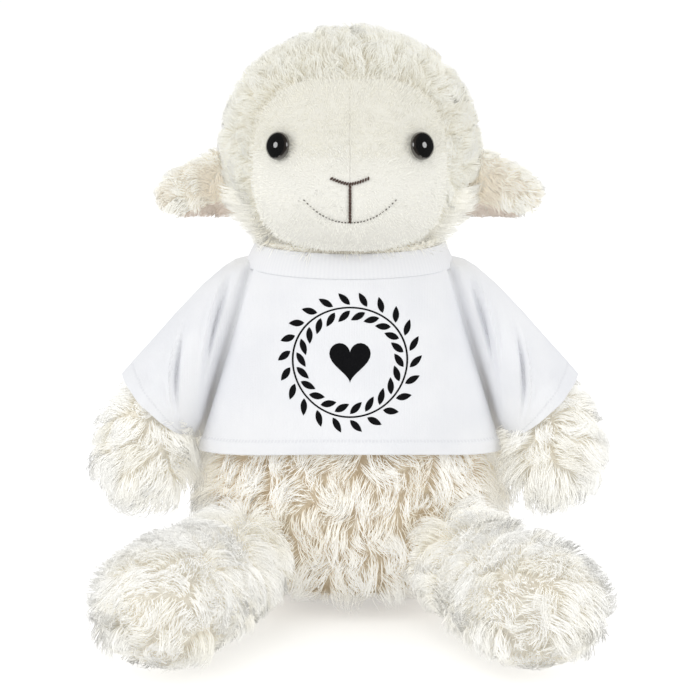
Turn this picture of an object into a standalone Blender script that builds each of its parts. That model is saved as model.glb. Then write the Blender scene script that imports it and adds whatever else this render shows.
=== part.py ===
"""A seated plush sheep in a T-shirt, built as the pieces that it is sewn from.

The sheep faces -Y, its own left side is +X, and it sits on Z = 0 with the origin under its seat.
Each plush piece is modelled with its pile, so its outer face is where the fur's tips lie on average.
Covers are shells that stay open at their seam to the next piece, with the stuffing as its own solid.
The head turns on the flat neck seam, and the ears, arms, legs and tail swing about the top of their seams.
"""

import math

import bmesh
import bpy
import numpy as np
from mathutils import Matrix, Vector

# Clearance between pieces that touch
GAP = 0.0003
FILL_ROOM = 0.0010

# Torso
NECK_HEIGHT = 0.171
TORSO_HALF_WIDTH = 0.071
TORSO_HALF_DEPTH = 0.063
TORSO_PILE = 0.006
SEAT_ROUNDING = 0.040
SEAT_PRESS = 0.0005
SEAT_POWER = 3.2
PELLET_BAG_TOP = 0.021
TORSO_STEP_SHARE = 0.12
TORSO_STEP_POWER = 2.4

# Torso outline above the seat's rounding: shares of the height, width, depth and lean
TORSO_PROFILE_SHARES = (
    (0.00, 1.000, 1.000, -0.02),
    (0.28, 1.000, 1.000, -0.05),
    (0.41, 1.000, 1.000, -0.05),
    (0.56, 0.935, 0.920, -0.02),
    (0.70, 0.840, 0.805, 0.01),
    (0.82, 0.755, 0.715, 0.03),
    (0.93, 0.655, 0.640, 0.03),
    (1.00, 0.580, 0.590, 0.03),
)

# Head
SKULL_HALF_WIDTH = 0.0595
SKULL_HALF_DEPTH = 0.050
SKULL_HALF_HEIGHT = 0.0535
SKULL_RISE = 0.0445
SKULL_CENTRE_HEIGHT = NECK_HEIGHT + SKULL_RISE
SKULL_CENTRE_Y = -0.001
MUZZLE_HALF_WIDTH = 0.041
MUZZLE_HALF_DEPTH = 0.034
MUZZLE_HALF_HEIGHT = 0.0255
MUZZLE_DROP = 0.019
MUZZLE_CENTRE_HEIGHT = SKULL_CENTRE_HEIGHT - MUZZLE_DROP
MUZZLE_FORWARD = 0.030
MUZZLE_CENTRE_Y = SKULL_CENTRE_Y - MUZZLE_FORWARD
HEAD_BLEND_POWER = 9.0
HEAD_PILE = 0.004
HEAD_FILL_ROOM = 0.0018

# Face: the short-pile panel seen from the front
FACE_MARGIN = 0.013
FACE_HALF_WIDTH = SKULL_HALF_WIDTH - FACE_MARGIN
FACE_CENTRE_DROP = 0.0035
FACE_CENTRE_HEIGHT = SKULL_CENTRE_HEIGHT - FACE_CENTRE_DROP
FACE_RISE = 0.0385
FACE_DROP = 0.048
FACE_POWER = 2.5
FACE_BACK_Y = -0.010
CHIN_SEAM_DROP = 0.038
CHIN_SEAM_HEIGHT = SKULL_CENTRE_HEIGHT - CHIN_SEAM_DROP

# Eyes: domed safety eyes with a shank and a lock washer
EYE_RADIUS = 0.0063
EYE_DOME_HEIGHT = 0.0046
EYE_RIM = 0.0007
EYE_STAND = 0.0011
EYE_X = 0.0315
EYE_RISE = 0.004
EYE_HEIGHT = SKULL_CENTRE_HEIGHT + EYE_RISE
SHANK_RADIUS = 0.0016
SHANK_LENGTH = 0.011
WASHER_RADIUS = 0.006
WASHER_THICKNESS = 0.0014

# Stitched nose and mouth
NOSE_THREAD_RADIUS = 0.0010
NOSE_HALF_WIDTH = 0.0085
NOSE_RISE = 0.010
NOSE_HEIGHT = MUZZLE_CENTRE_HEIGHT + NOSE_RISE
NOSE_DIP = 0.0030
NOSE_POWER = 1.3
LIP_THREAD_RADIUS = 0.0006
MOUTH_HALF_WIDTH = 0.0205
MOUTH_DROP = 0.009
MOUTH_HEIGHT = MUZZLE_CENTRE_HEIGHT - MOUTH_DROP
MOUTH_CORNER_RISE = 0.0120
MOUTH_POWER = 2.2

# Ears: floppy tongues that hang out sideways
EAR_ROOT_IN = 0.0135
EAR_ROOT_X = SKULL_HALF_WIDTH - EAR_ROOT_IN
EAR_ROOT_Y = -0.003
EAR_ROOT_DROP = 0.0149
EAR_ROOT_HEIGHT = SKULL_CENTRE_HEIGHT - EAR_ROOT_DROP
EAR_LENGTH_OUT = 0.0435
EAR_TIP_X = EAR_ROOT_X + EAR_LENGTH_OUT
EAR_TIP_Y = -0.008
EAR_DROOP = 0.0096
EAR_TIP_HEIGHT = EAR_ROOT_HEIGHT - EAR_DROOP
EAR_HALF_HEIGHT = 0.0170
EAR_HALF_THICKNESS = 0.0080
EAR_LINING_DEPTH = 0.0054
EAR_LINING_TILT_DEG = 62.0
EAR_SHARES = (
    (0.00, 1.00, 0.95),
    (0.22, 1.00, 1.00),
    (0.45, 0.91, 1.00),
    (0.65, 0.77, 0.97),
    (0.82, 0.64, 0.87),
    (0.93, 0.45, 0.63),
    (0.985, 0.24, 0.35),
)
EAR_RING_SHARES = (0.0, 0.16, 0.32, 0.48, 0.64, 0.78, 0.88, 0.95, 0.985)

# Arms: from the shoulder down to the round paw
SHOULDER_IN = 0.025
SHOULDER_X = TORSO_HALF_WIDTH - SHOULDER_IN
SHOULDER_Y = 0.001
SHOULDER_DROP = 0.040
SHOULDER_HEIGHT = NECK_HEIGHT - SHOULDER_DROP
PAW_OUT = 0.0255
PAW_X = TORSO_HALF_WIDTH + PAW_OUT
PAW_Y = -0.023
PAW_DROP = 0.0585
PAW_HEIGHT = SHOULDER_HEIGHT - PAW_DROP
PAW_RADIUS = 0.0255
ARM_RADIUS = 0.0195
ARM_BOW = 0.0100
ARM_BOW_POWER = 1.5
ARM_START_SHARE = -0.12
ARM_PILE = 0.005
ARM_RADIUS_SHARES = ((0.0, 0.0), (0.35, 0.0), (0.62, 0.15), (0.80, 0.65), (1.0, 1.0))

# Legs: from the hip forward to the round foot
HIP_IN = 0.035
HIP_X = TORSO_HALF_WIDTH - HIP_IN
HIP_BACK = 0.033
HIP_Y = HIP_BACK - TORSO_HALF_DEPTH
HIP_HEIGHT = 0.039
FOOT_OUT = 0.042
FOOT_X = HIP_X + FOOT_OUT
LEG_REACH = 0.092
FOOT_Y = HIP_Y - LEG_REACH
FOOT_RADIUS = 0.033
LEG_RADIUS = 0.0275
LEG_PILE = 0.006
LEG_SETTLE_SHARE = 0.5
LEG_RADIUS_SHARES = ((0.0, 0.0), (0.40, 0.05), (0.70, 0.50), (0.88, 0.90), (1.0, 1.0))

# Tail: a small flat drop that hangs down the back
TAIL_ROOT_HEIGHT = 0.067
TAIL_LENGTH = 0.031
TAIL_ROOT_IN = 0.011
TAIL_ROOT_Y = TORSO_HALF_DEPTH - TAIL_ROOT_IN
TAIL_TIP_HEIGHT = TAIL_ROOT_HEIGHT - TAIL_LENGTH
TAIL_TIP_OUT = 0.0145
TAIL_TIP_Y = TAIL_ROOT_Y + TAIL_TIP_OUT
TAIL_RADIUS = 0.0105
TAIL_BULGE = 0.00525
TAIL_RADIUS_SHARES = ((0.0, 0.55), (0.35, 0.80), (0.70, 1.0), (1.0, 0.80))

# T-shirt
CLOTH = 0.0012
HEM_EXTRA = 0.0007
HEM_DEPTH = 0.007
SHIRT_LENGTH = 0.1005
SHIRT_HEM_HEIGHT = NECK_HEIGHT - SHIRT_LENGTH
SHIRT_FRONT_RISE = 0.0100
SHIRT_FRONT_POWER = 2
SHIRT_FOLD = 0.0016
SHIRT_FOLD_POWER = 2
SHIRT_FOLDS = 10
SHIRT_RING_SHARES = (0.0, 0.04, 0.078, 0.09, 0.22, 0.38, 0.54, 0.70, 0.85, 1.0)
COLLAR_HEIGHT = 0.0115
COLLAR_CLOTH = 0.0018
COLLAR_SHARES = ((0.0, 0.55), (0.12, 0.95), (0.5, 1.0), (0.88, 0.95), (1.0, 0.55))
SLEEVE_TOP_IN = 0.0245
SLEEVE_TOP_X = TORSO_HALF_WIDTH - SLEEVE_TOP_IN
SLEEVE_TOP_DROP = 0.012
SLEEVE_TOP_HEIGHT = NECK_HEIGHT - SLEEVE_TOP_DROP
SLEEVE_BASE_IN = 0.004
SLEEVE_BASE_X = TORSO_HALF_WIDTH - SLEEVE_BASE_IN
ARMHOLE_LENGTH = 0.0855
SLEEVE_BASE_HEIGHT = SLEEVE_TOP_HEIGHT - ARMHOLE_LENGTH
CUFF_TOP_OUT = 0.034
CUFF_TOP_X = TORSO_HALF_WIDTH + CUFF_TOP_OUT
SLEEVE_FALL = 0.048
CUFF_TOP_HEIGHT = SLEEVE_TOP_HEIGHT - SLEEVE_FALL
CUFF_BASE_OUT = 0.0035
CUFF_BASE_X = TORSO_HALF_WIDTH + CUFF_BASE_OUT
CUFF_LENGTH = 0.032
CUFF_BASE_HEIGHT = CUFF_TOP_HEIGHT - CUFF_LENGTH
CUFF_Y = -0.0150
CUFF_HALF_DEPTH = 0.0245
ARMHOLE_HALF_DEPTH = 0.0245
UNDERARM_DROP = 0.071
UNDERARM_HEIGHT = NECK_HEIGHT - UNDERARM_DROP
SHIRT_ROOM = 0.0007
CUFF_ROOM = 0.0018
ARM_ROOM = 0.0012
SLEEVE_BULGE = 0.00275
SLEEVE_REACH_IN = 0.013
SLEEVE_OPEN = 0.010
SLEEVE_FOLD = 0.0014
SLEEVE_FOLD_POWER = 1.5
SLEEVE_FOLDS = 7
SLEEVE_RING_SHARES = (-1.0, 0.0, 0.2, 0.4, 0.6, 0.8, 0.93, 1.0)

# Joint axes
SHOULDER_AXIS_X = SLEEVE_TOP_X
SHOULDER_AXIS_DROP = 0.0105
SHOULDER_AXIS_HEIGHT = NECK_HEIGHT - SHOULDER_AXIS_DROP
ARM_LIFT_DEG = 35.0
ARMHOLE_TURN_SHARES = (0.0, 0.35, 0.7, 1.0)
EAR_AXIS_OUT = 0.0105
EAR_AXIS_X = EAR_ROOT_X + EAR_AXIS_OUT
EAR_AXIS_RISE = 0.0159
EAR_AXIS_HEIGHT = EAR_ROOT_HEIGHT + EAR_AXIS_RISE
LEG_AXIS_RISE = 0.029
LEG_AXIS_HEIGHT = HIP_HEIGHT + LEG_AXIS_RISE
LEG_AXIS_OUT = 0.0400
TAIL_AXIS_OUT = 0.0065
TAIL_AXIS_Y = TAIL_ROOT_Y + TAIL_AXIS_OUT
TAIL_AXIS_RISE = 0.009
TAIL_AXIS_HEIGHT = TAIL_ROOT_HEIGHT + TAIL_AXIS_RISE

# How far a cutter runs past what it cuts
OVERRUN = 0.02

# Mesh fineness
RING_SIDES = 28
LIMB_SIDES = 18
SLEEVE_SIDES = 28
SHIRT_SIDES = 44
TORSO_RINGS = 13
HEAD_RINGS = 13
LIMB_RINGS = 8
CAP_RINGS = 3
THREAD_SIDES = 6
EYE_SIDES = 16
DOME_RINGS = 5
NOSE_STEPS = 13
MOUTH_STEPS = 21
LIP_STEPS = 6

# Fine limits: points that are one, the least that a form's field reads, and halvings in a search
WELD = 1e-7
LEAST_FIELD = 1e-3
HALVINGS = 40

# Finishes: base colour and roughness
CURLY_PLUSH = ((0.86, 0.82, 0.72), 0.95)
SMOOTH_PLUSH = ((0.88, 0.84, 0.76), 0.90)
EAR_CLOTH = ((0.78, 0.66, 0.55), 0.90)
JERSEY = ((0.90, 0.91, 0.93), 0.85)
FIBRE = ((0.92, 0.92, 0.90), 1.00)
BAG_CLOTH = ((0.75, 0.75, 0.72), 0.90)
EYE_PLASTIC = ((0.015, 0.010, 0.008), 0.12)
WASHER_PLASTIC = ((0.85, 0.85, 0.83), 0.45)
THREAD = ((0.10, 0.055, 0.035), 0.75)


def clear_scene():
    for thing in list(bpy.data.objects):
        bpy.data.objects.remove(thing, do_unlink=True)


def finish_material(name, finish):
    colour, roughness = finish
    material = bpy.data.materials.new(name)
    material.use_nodes = True
    shader = material.node_tree.nodes["Principled BSDF"]
    shader.inputs["Base Color"].default_value = (*colour, 1.0)
    shader.inputs["Roughness"].default_value = roughness
    shader.inputs["Metallic"].default_value = 0.0
    return material


def link_mesh(name, bm, finish=None, pivot=None):
    """Makes an object of a bmesh; without a finish it is a cutter, and a pivot becomes its origin."""
    bmesh.ops.remove_doubles(bm, verts=bm.verts, dist=WELD)
    bmesh.ops.recalc_face_normals(bm, faces=bm.faces)
    mesh = bpy.data.meshes.new(name)
    bm.to_mesh(mesh)
    bm.free()
    thing = bpy.data.objects.new(name, mesh)
    bpy.context.collection.objects.link(thing)
    if pivot is not None:
        mesh.transform(Matrix.Translation(-Vector(pivot)))
        thing.location = pivot
    if finish is None:
        thing.hide_render = True
        thing.display_type = "WIRE"
    else:
        mesh.shade_smooth()
        mesh.materials.append(finish_material(name, finish))
    return thing


def boolean(thing, cutter, operation="DIFFERENCE"):
    step = thing.modifiers.new(cutter.name, "BOOLEAN")
    step.operation = operation
    step.object = cutter
    step.solver = "EXACT"


def smooth_table(rows, at):
    """Reads every column of a table of shares at the first column's value, on a smooth curve."""
    table = np.array(rows, dtype=float)
    keys, values = table[:, 0], table[:, 1:]
    slopes = np.gradient(values, keys, axis=0)
    place = int(np.clip(np.searchsorted(keys, at) - 1, 0, len(keys) - 2))
    span = keys[place + 1] - keys[place]
    t = min(max((at - keys[place]) / span, 0.0), 1.0)
    start = (1 + 2 * t) * (1 - t) ** 2
    end = t * t * (3 - 2 * t)
    leave = t * (1 - t) ** 2 * span
    arrive = t * t * (t - 1) * span
    return (
        start * values[place]
        + end * values[place + 1]
        + leave * slopes[place]
        + arrive * slopes[place + 1]
    )


def add_rings(bm, rings):
    """Adds rows of points as closed rings joined by faces, and gives back the rings' corners."""
    rows = [[bm.verts.new(point) for point in ring] for ring in rings]
    for lower, upper in zip(rows, rows[1:]):
        join_rings(bm, lower, upper)
    return rows


def join_rings(bm, lower, upper):
    count = len(lower)
    for place in range(count):
        after = (place + 1) % count
        bm.faces.new((lower[place], lower[after], upper[after], upper[place]))


def close_with_pole(bm, ring, pole):
    tip = bm.verts.new(pole)
    count = len(ring)
    for place in range(count):
        bm.faces.new((ring[place], ring[(place + 1) % count], tip))


def solid_of_rings(rings, first_pole=None, last_pole=None):
    """A closed solid: each end is a flat face, or a fan up to a pole where one is given."""
    bm = bmesh.new()
    rows = add_rings(bm, rings)
    for row, pole in ((rows[0], first_pole), (rows[-1], last_pole)):
        if pole is None:
            bm.faces.new(row)
        else:
            close_with_pole(bm, row, pole)
    return bm


def wall_of_rings(outer, inner):
    """A tube with a wall: two sets of rings, joined to each other at both open ends."""
    bm = bmesh.new()
    outside = add_rings(bm, outer)
    inside = add_rings(bm, inner)
    join_rings(bm, outside[0], inside[0])
    join_rings(bm, outside[-1], inside[-1])
    return bm


def turn_angles(sides):
    return np.linspace(0.0, 2 * math.pi, sides, endpoint=False)


# Torso


def torso_size(height, grow=0.0):
    """Half width, half depth and centre of the torso's outline at a height, grown by a distance."""
    wide, deep, lean = smooth_table(TORSO_PROFILE_SHARES, height / NECK_HEIGHT)
    above = height + SEAT_PRESS + grow
    rounding = SEAT_ROUNDING + grow
    rise = min(max(1 - above / rounding, 0.0), 1.0)
    share = (1 - rise**SEAT_POWER) ** (1 / SEAT_POWER)
    half_width = (TORSO_HALF_WIDTH * wide + grow) * share
    half_depth = (TORSO_HALF_DEPTH * deep + grow) * share
    return half_width, half_depth, TORSO_HALF_DEPTH * lean


def torso_ring(height, grow=0.0):
    half_width, half_depth, centre = torso_size(height, grow)
    return [
        Vector((half_width * math.cos(turn), centre + half_depth * math.sin(turn), height))
        for turn in turn_angles(RING_SIDES)
    ]


def torso_heights(start, end):
    """Heights from start to end, closer together in the seat's rounding."""
    even, rest = TORSO_STEP_SHARE, 1 - TORSO_STEP_SHARE
    steps = np.linspace(0.0, 1.0, TORSO_RINGS)
    return [
        start + (end - start) * (even * step + rest * step**TORSO_STEP_POWER) for step in steps
    ]


def torso_volume(name, grow, start, end, finish=None):
    rings = [torso_ring(height, grow) for height in torso_heights(start, end)]
    return link_mesh(name, solid_of_rings(rings), finish)


def make_torso():
    """The plush body shell with its neck open, the stuffing, and the bag of pellets in the seat."""
    outer = [torso_ring(height) for height in torso_heights(0.0, NECK_HEIGHT)]
    inner = [
        torso_ring(height, -TORSO_PILE) for height in torso_heights(TORSO_PILE, NECK_HEIGHT)
    ]
    bm = bmesh.new()
    outside = add_rings(bm, outer)
    inside = add_rings(bm, inner)
    bm.faces.new(outside[0])
    bm.faces.new(inside[0])
    join_rings(bm, outside[-1], inside[-1])
    link_mesh("torso_cover", bm, CURLY_PLUSH)

    stuffing = -(TORSO_PILE + FILL_ROOM)
    bag_floor = TORSO_PILE + FILL_ROOM
    torso_volume("seat_pellet_bag", stuffing, bag_floor, PELLET_BAG_TOP, BAG_CLOTH)
    torso_volume("torso_fill", stuffing, PELLET_BAG_TOP + GAP, NECK_HEIGHT, FIBRE)


# Head


def head_field(point, shrink=0.0):
    """Below 1 inside the head: the skull and the muzzle, blended smoothly into one form."""
    x, y, z = point
    skull = math.sqrt(
        (x / (SKULL_HALF_WIDTH - shrink)) ** 2
        + ((y - SKULL_CENTRE_Y) / (SKULL_HALF_DEPTH - shrink)) ** 2
        + ((z - SKULL_CENTRE_HEIGHT) / (SKULL_HALF_HEIGHT - shrink)) ** 2
    )
    muzzle = math.sqrt(
        (x / (MUZZLE_HALF_WIDTH - shrink)) ** 2
        + ((y - MUZZLE_CENTRE_Y) / (MUZZLE_HALF_DEPTH - shrink)) ** 2
        + ((z - MUZZLE_CENTRE_HEIGHT) / (MUZZLE_HALF_HEIGHT - shrink)) ** 2
    )
    skull = max(skull, LEAST_FIELD)
    muzzle = max(muzzle, LEAST_FIELD)
    power = HEAD_BLEND_POWER
    return (skull**-power + muzzle**-power) ** (-1 / power)


def head_reach(start, direction, shrink=0.0):
    """How far the head's surface lies from a point inside it, in a direction."""
    near, far = 0.0, 2 * SKULL_HALF_WIDTH + MUZZLE_HALF_DEPTH
    for _ in range(HALVINGS):
        middle = (near + far) / 2
        if head_field(start + direction * middle, shrink) < 1:
            near = middle
        else:
            far = middle
    return near


def head_ring(height, shrink=0.0):
    centre = Vector((0.0, SKULL_CENTRE_Y, height))
    ring = []
    for turn in turn_angles(RING_SIDES):
        direction = Vector((math.cos(turn), math.sin(turn), 0.0))
        ring.append(centre + direction * head_reach(centre, direction, shrink))
    return ring


def head_top(shrink=0.0):
    return SKULL_CENTRE_HEIGHT + SKULL_HALF_HEIGHT - shrink


def head_rings(shrink=0.0):
    """Rings from the neck seam up, closer together where the crown closes."""
    start, end = NECK_HEIGHT + GAP, head_top(shrink)
    steps = [math.sin(math.pi / 2 * place / HEAD_RINGS) for place in range(HEAD_RINGS)]
    return [head_ring(start + (end - start) * step, shrink) for step in steps]


def head_volume(name, shrink, finish=None):
    pole = Vector((0.0, SKULL_CENTRE_Y, head_top(shrink)))
    return link_mesh(name, solid_of_rings(head_rings(shrink), last_pole=pole), finish)


def head_shell(name, finish):
    bm = bmesh.new()
    outside = add_rings(bm, head_rings())
    inside = add_rings(bm, head_rings(HEAD_PILE))
    close_with_pole(bm, outside[-1], Vector((0.0, SKULL_CENTRE_Y, head_top())))
    close_with_pole(bm, inside[-1], Vector((0.0, SKULL_CENTRE_Y, head_top(HEAD_PILE))))
    join_rings(bm, outside[0], inside[0])
    return link_mesh(name, bm, finish)


def face_prism(name, grow):
    """The face's outline, run from in front of the muzzle to behind the face."""
    power = 2 / FACE_POWER
    outline = []
    for turn in turn_angles(RING_SIDES):
        across, up = math.cos(turn), math.sin(turn)
        reach = FACE_RISE if up > 0 else FACE_DROP
        outline.append(
            (
                math.copysign(abs(across) ** power, across) * (FACE_HALF_WIDTH + grow),
                FACE_CENTRE_HEIGHT
                + math.copysign(abs(up) ** power, up) * (reach + grow),
            )
        )
    front = MUZZLE_CENTRE_Y - MUZZLE_HALF_DEPTH - OVERRUN
    rings = [
        [Vector((x, y, z)) for x, z in outline] for y in (front, FACE_BACK_Y + grow)
    ]
    return link_mesh(name, solid_of_rings(rings))


def box(name, low, high):
    """A plain cutter between two corners."""
    bm = bmesh.new()
    bmesh.ops.create_cube(bm, size=1.0)
    size = [b - a for a, b in zip(low, high)]
    middle = [(a + b) / 2 for a, b in zip(low, high)]
    bmesh.ops.scale(bm, vec=size, verts=bm.verts)
    bmesh.ops.translate(bm, vec=middle, verts=bm.verts)
    return link_mesh(name, bm)


def surface_in_front(x, z):
    """The point of the head's surface in front of x, z, and the way out of it."""
    start = Vector((x, SKULL_CENTRE_Y, z))
    forward = Vector((0.0, -1.0, 0.0))
    point = start + forward * head_reach(start, forward)
    step = SHANK_RADIUS
    slope = [
        head_field(point + axis * step) - head_field(point - axis * step)
        for axis in (Vector((1, 0, 0)), Vector((0, 1, 0)), Vector((0, 0, 1)))
    ]
    return point, Vector(slope).normalized()


def turned_rings(profile, place, direction):
    """A profile of radii and heights, as rings about an axis that starts at place."""
    aim = Vector((0, 0, 1)).rotation_difference(direction).to_matrix().to_4x4()
    move = Matrix.Translation(place) @ aim
    return [
        [
            move @ Vector((radius * math.cos(turn), radius * math.sin(turn), height))
            for turn in turn_angles(EYE_SIDES)
        ]
        for radius, height in profile
    ]


def turned(name, profile, place, direction, finish=None):
    return link_mesh(name, solid_of_rings(turned_rings(profile, place, direction)), finish)


def washer_top():
    """How deep the washer lies: behind the face cloth, clear of its inner curve."""
    bend = WASHER_RADIUS**2 / (2 * (SKULL_HALF_DEPTH - HEAD_PILE))
    return HEAD_PILE + bend + FILL_ROOM + GAP


def make_eye(side, word, face, fill):
    place, out = surface_in_front(side * EYE_X, EYE_HEIGHT)
    seat = EYE_STAND
    dome = [(SHANK_RADIUS, -SHANK_LENGTH), (SHANK_RADIUS, seat), (EYE_RADIUS, seat)]
    dome.append((EYE_RADIUS, seat + EYE_RIM))
    for step in range(1, DOME_RINGS + 1):
        angle = step * math.pi / 2 / (DOME_RINGS + 1)
        dome.append(
            (
                EYE_RADIUS * math.cos(angle),
                seat + EYE_RIM + (EYE_DOME_HEIGHT - EYE_RIM) * math.sin(angle),
            )
        )
    turned(f"eye_{word}", dome, place, out, EYE_PLASTIC)

    hole = SHANK_RADIUS + GAP
    bore = [(hole, -SHANK_LENGTH - OVERRUN), (hole, OVERRUN)]
    boolean(face, turned(f"eye_hole_{word}", bore, place, out))

    low, high = -washer_top() - WASHER_THICKNESS, -washer_top()
    rim = turned_rings([(WASHER_RADIUS, low), (WASHER_RADIUS, high)], place, out)
    bore = turned_rings([(hole, low), (hole, high)], place, out)
    link_mesh(f"eye_washer_{word}", wall_of_rings(rim, bore), WASHER_PLASTIC)

    pocket_radius = WASHER_RADIUS + GAP
    pocket = [(pocket_radius, -SHANK_LENGTH - GAP), (pocket_radius, OVERRUN)]
    boolean(fill, turned(f"eye_pocket_{word}", pocket, place, out))


def thread(name, route, radius, finish):
    """A stitched line: a fine tube that lies on the face along points given across and up."""
    points = []
    for x, z in route:
        place, out = surface_in_front(x, z)
        points.append(place + out * (radius + GAP))
    rings = []
    for place, point in enumerate(points):
        before = points[max(place - 1, 0)]
        after = points[min(place + 1, len(points) - 1)]
        along = (after - before).normalized()
        side = along.cross(Vector((0, -1, 0))).normalized()
        up = side.cross(along)
        rings.append(
            [
                point + radius * (side * math.cos(turn) + up * math.sin(turn))
                for turn in turn_angles(THREAD_SIDES)
            ]
        )
    link_mesh(name, solid_of_rings(rings), finish)


def make_stitches():
    """The nose is a shallow V, with a line down to the lip and a wide smile below it."""
    nose = [
        (NOSE_HALF_WIDTH * s, NOSE_HEIGHT - NOSE_DIP * (1 - abs(s) ** NOSE_POWER))
        for s in np.linspace(-1.0, 1.0, NOSE_STEPS)
    ]
    thread("nose_stitches", nose, NOSE_THREAD_RADIUS, THREAD)
    smile = [
        (MOUTH_HALF_WIDTH * s, MOUTH_HEIGHT + MOUTH_CORNER_RISE * abs(s) ** MOUTH_POWER)
        for s in np.linspace(-1.0, 1.0, MOUTH_STEPS)
    ]
    thread("mouth_stitches", smile, LIP_THREAD_RADIUS, THREAD)
    top = NOSE_HEIGHT - NOSE_DIP - NOSE_THREAD_RADIUS - LIP_THREAD_RADIUS - GAP
    bottom = MOUTH_HEIGHT + 2 * LIP_THREAD_RADIUS + GAP
    drop = [(0.0, height) for height in np.linspace(top, bottom, LIP_STEPS)]
    thread("lip_stitches", drop, LIP_THREAD_RADIUS, THREAD)


def make_head():
    """The curly head cover, the three short-pile face pieces, eyes, stitches and stuffing."""
    cover = head_shell("head_cover", CURLY_PLUSH)
    boolean(cover, face_prism("face_opening", GAP))
    inside_face = face_prism("face_outline", 0.0)
    fill = head_volume("head_fill", HEAD_PILE + HEAD_FILL_ROOM, FIBRE)

    wide = SKULL_HALF_WIDTH + OVERRUN
    front = MUZZLE_CENTRE_Y - MUZZLE_HALF_DEPTH - OVERRUN
    top = head_top() + OVERRUN
    bottom = NECK_HEIGHT - OVERRUN
    for word, side in (("left", 1), ("right", -1)):
        face = head_shell(f"face_{word}", SMOOTH_PLUSH)
        boolean(face, inside_face, "INTERSECT")
        near, far = sorted((side * GAP / 2, side * wide))
        low = (near, front, CHIN_SEAM_HEIGHT + GAP)
        high = (far, SKULL_HALF_DEPTH, top)
        boolean(face, box(f"face_half_{word}", low, high), "INTERSECT")
        make_eye(side, word, face, fill)
    chin = head_shell("chin_gusset", SMOOTH_PLUSH)
    boolean(chin, inside_face, "INTERSECT")
    low, high = (-wide, front, bottom), (wide, SKULL_HALF_DEPTH, CHIN_SEAM_HEIGHT)
    boolean(chin, box("chin_part", low, high), "INTERSECT")
    make_stitches()


# Ears


def ear_ring(side, share):
    tall, thick = smooth_table(EAR_SHARES, share)
    root = Vector((side * EAR_ROOT_X, EAR_ROOT_Y, EAR_ROOT_HEIGHT))
    tip = Vector((side * EAR_TIP_X, EAR_TIP_Y, EAR_TIP_HEIGHT))
    along = (tip - root).normalized()
    depth = Vector((0, 1, 0)) - along * along.y
    depth.normalize()
    up = along.cross(depth) * side
    up = up if up.z > 0 else -up
    centre = root + (tip - root) * share
    return [
        centre
        + up * (math.sin(turn) * EAR_HALF_HEIGHT * tall)
        + depth * (math.cos(turn) * EAR_HALF_THICKNESS * thick)
        for turn in turn_angles(LIMB_SIDES)
    ]


def ear_volume(name, side, finish, pivot):
    rings = [ear_ring(side, share) for share in EAR_RING_SHARES]
    tip = Vector((side * EAR_TIP_X, EAR_TIP_Y, EAR_TIP_HEIGHT))
    return link_mesh(name, solid_of_rings(rings, last_pole=tip), finish, pivot)


def lining_slab(name, side, shift):
    """A block whose upper face slices off the ear's lower front, where the lining shows."""
    tilt = math.radians(EAR_LINING_TILT_DEG)
    root = Vector((side * EAR_ROOT_X, EAR_ROOT_Y, EAR_ROOT_HEIGHT))
    tip = Vector((side * EAR_TIP_X, EAR_TIP_Y, EAR_TIP_HEIGHT))
    along = (tip - root).normalized()
    level = Vector((along.x, along.y, 0.0)).normalized()
    across = Vector((0, 0, 1)).cross(level)
    if across.y > 0:
        across = -across
    down = (across * math.cos(tilt) - Vector((0, 0, 1)) * math.sin(tilt)).normalized()
    down = (down - along * down.dot(along)).normalized()
    sideways = down.cross(along)
    reach = math.hypot(
        EAR_HALF_HEIGHT * down.z, EAR_HALF_THICKNESS * math.sqrt(1 - down.z**2)
    )
    start = (root + tip) / 2 + down * (reach - EAR_LINING_DEPTH + shift)
    half = EAR_TIP_X
    rings = [
        [
            start + down * depth + along * a * half + sideways * b * half
            for a, b in ((-1, -1), (1, -1), (1, 1), (-1, 1))
        ]
        for depth in (0.0, half)
    ]
    return link_mesh(name, solid_of_rings(rings))


def make_ear(side, word, head_keepout):
    pivot = (side * EAR_AXIS_X, EAR_ROOT_Y, EAR_AXIS_HEIGHT)
    outer = ear_volume(f"ear_{word}_outer", side, CURLY_PLUSH, pivot)
    lining = ear_volume(f"ear_{word}_lining", side, EAR_CLOTH, pivot)
    boolean(outer, head_keepout)
    boolean(lining, head_keepout)
    boolean(outer, lining_slab(f"ear_{word}_slice", side, 0.0))
    boolean(lining, lining_slab(f"ear_{word}_part", side, GAP), "INTERSECT")


# Limbs


def limb_rings(route, radii, press=False):
    """Rings along a route with a radius each, rounded at the far end and pressed flat below."""
    rings = []
    count = len(route)
    for place, point in enumerate(route):
        before = route[max(place - 1, 0)]
        after = route[min(place + 1, count - 1)]
        rings.append((point, (after - before).normalized(), radii[place]))
    end, along, radius = rings[-1]
    for step in range(1, CAP_RINGS + 1):
        angle = step * math.pi / 2 / (CAP_RINGS + 1)
        rings.append((end + along * radius * math.sin(angle), along, radius * math.cos(angle)))
    pole = end + along * radius
    rows = []
    for centre, along, size in rings:
        level = Vector((0, 0, 1)) if press else Vector((0, 1, 0))
        side = along.cross(level).normalized()
        up = side.cross(along)
        row = []
        for turn in turn_angles(LIMB_SIDES):
            point = centre + size * (side * math.cos(turn) + up * math.sin(turn))
            if press:
                point.z = max(point.z, 0.0)
            row.append(point)
        rows.append(row)
    if press:
        pole.z = max(pole.z, 0.0)
    return rows, pole


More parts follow.
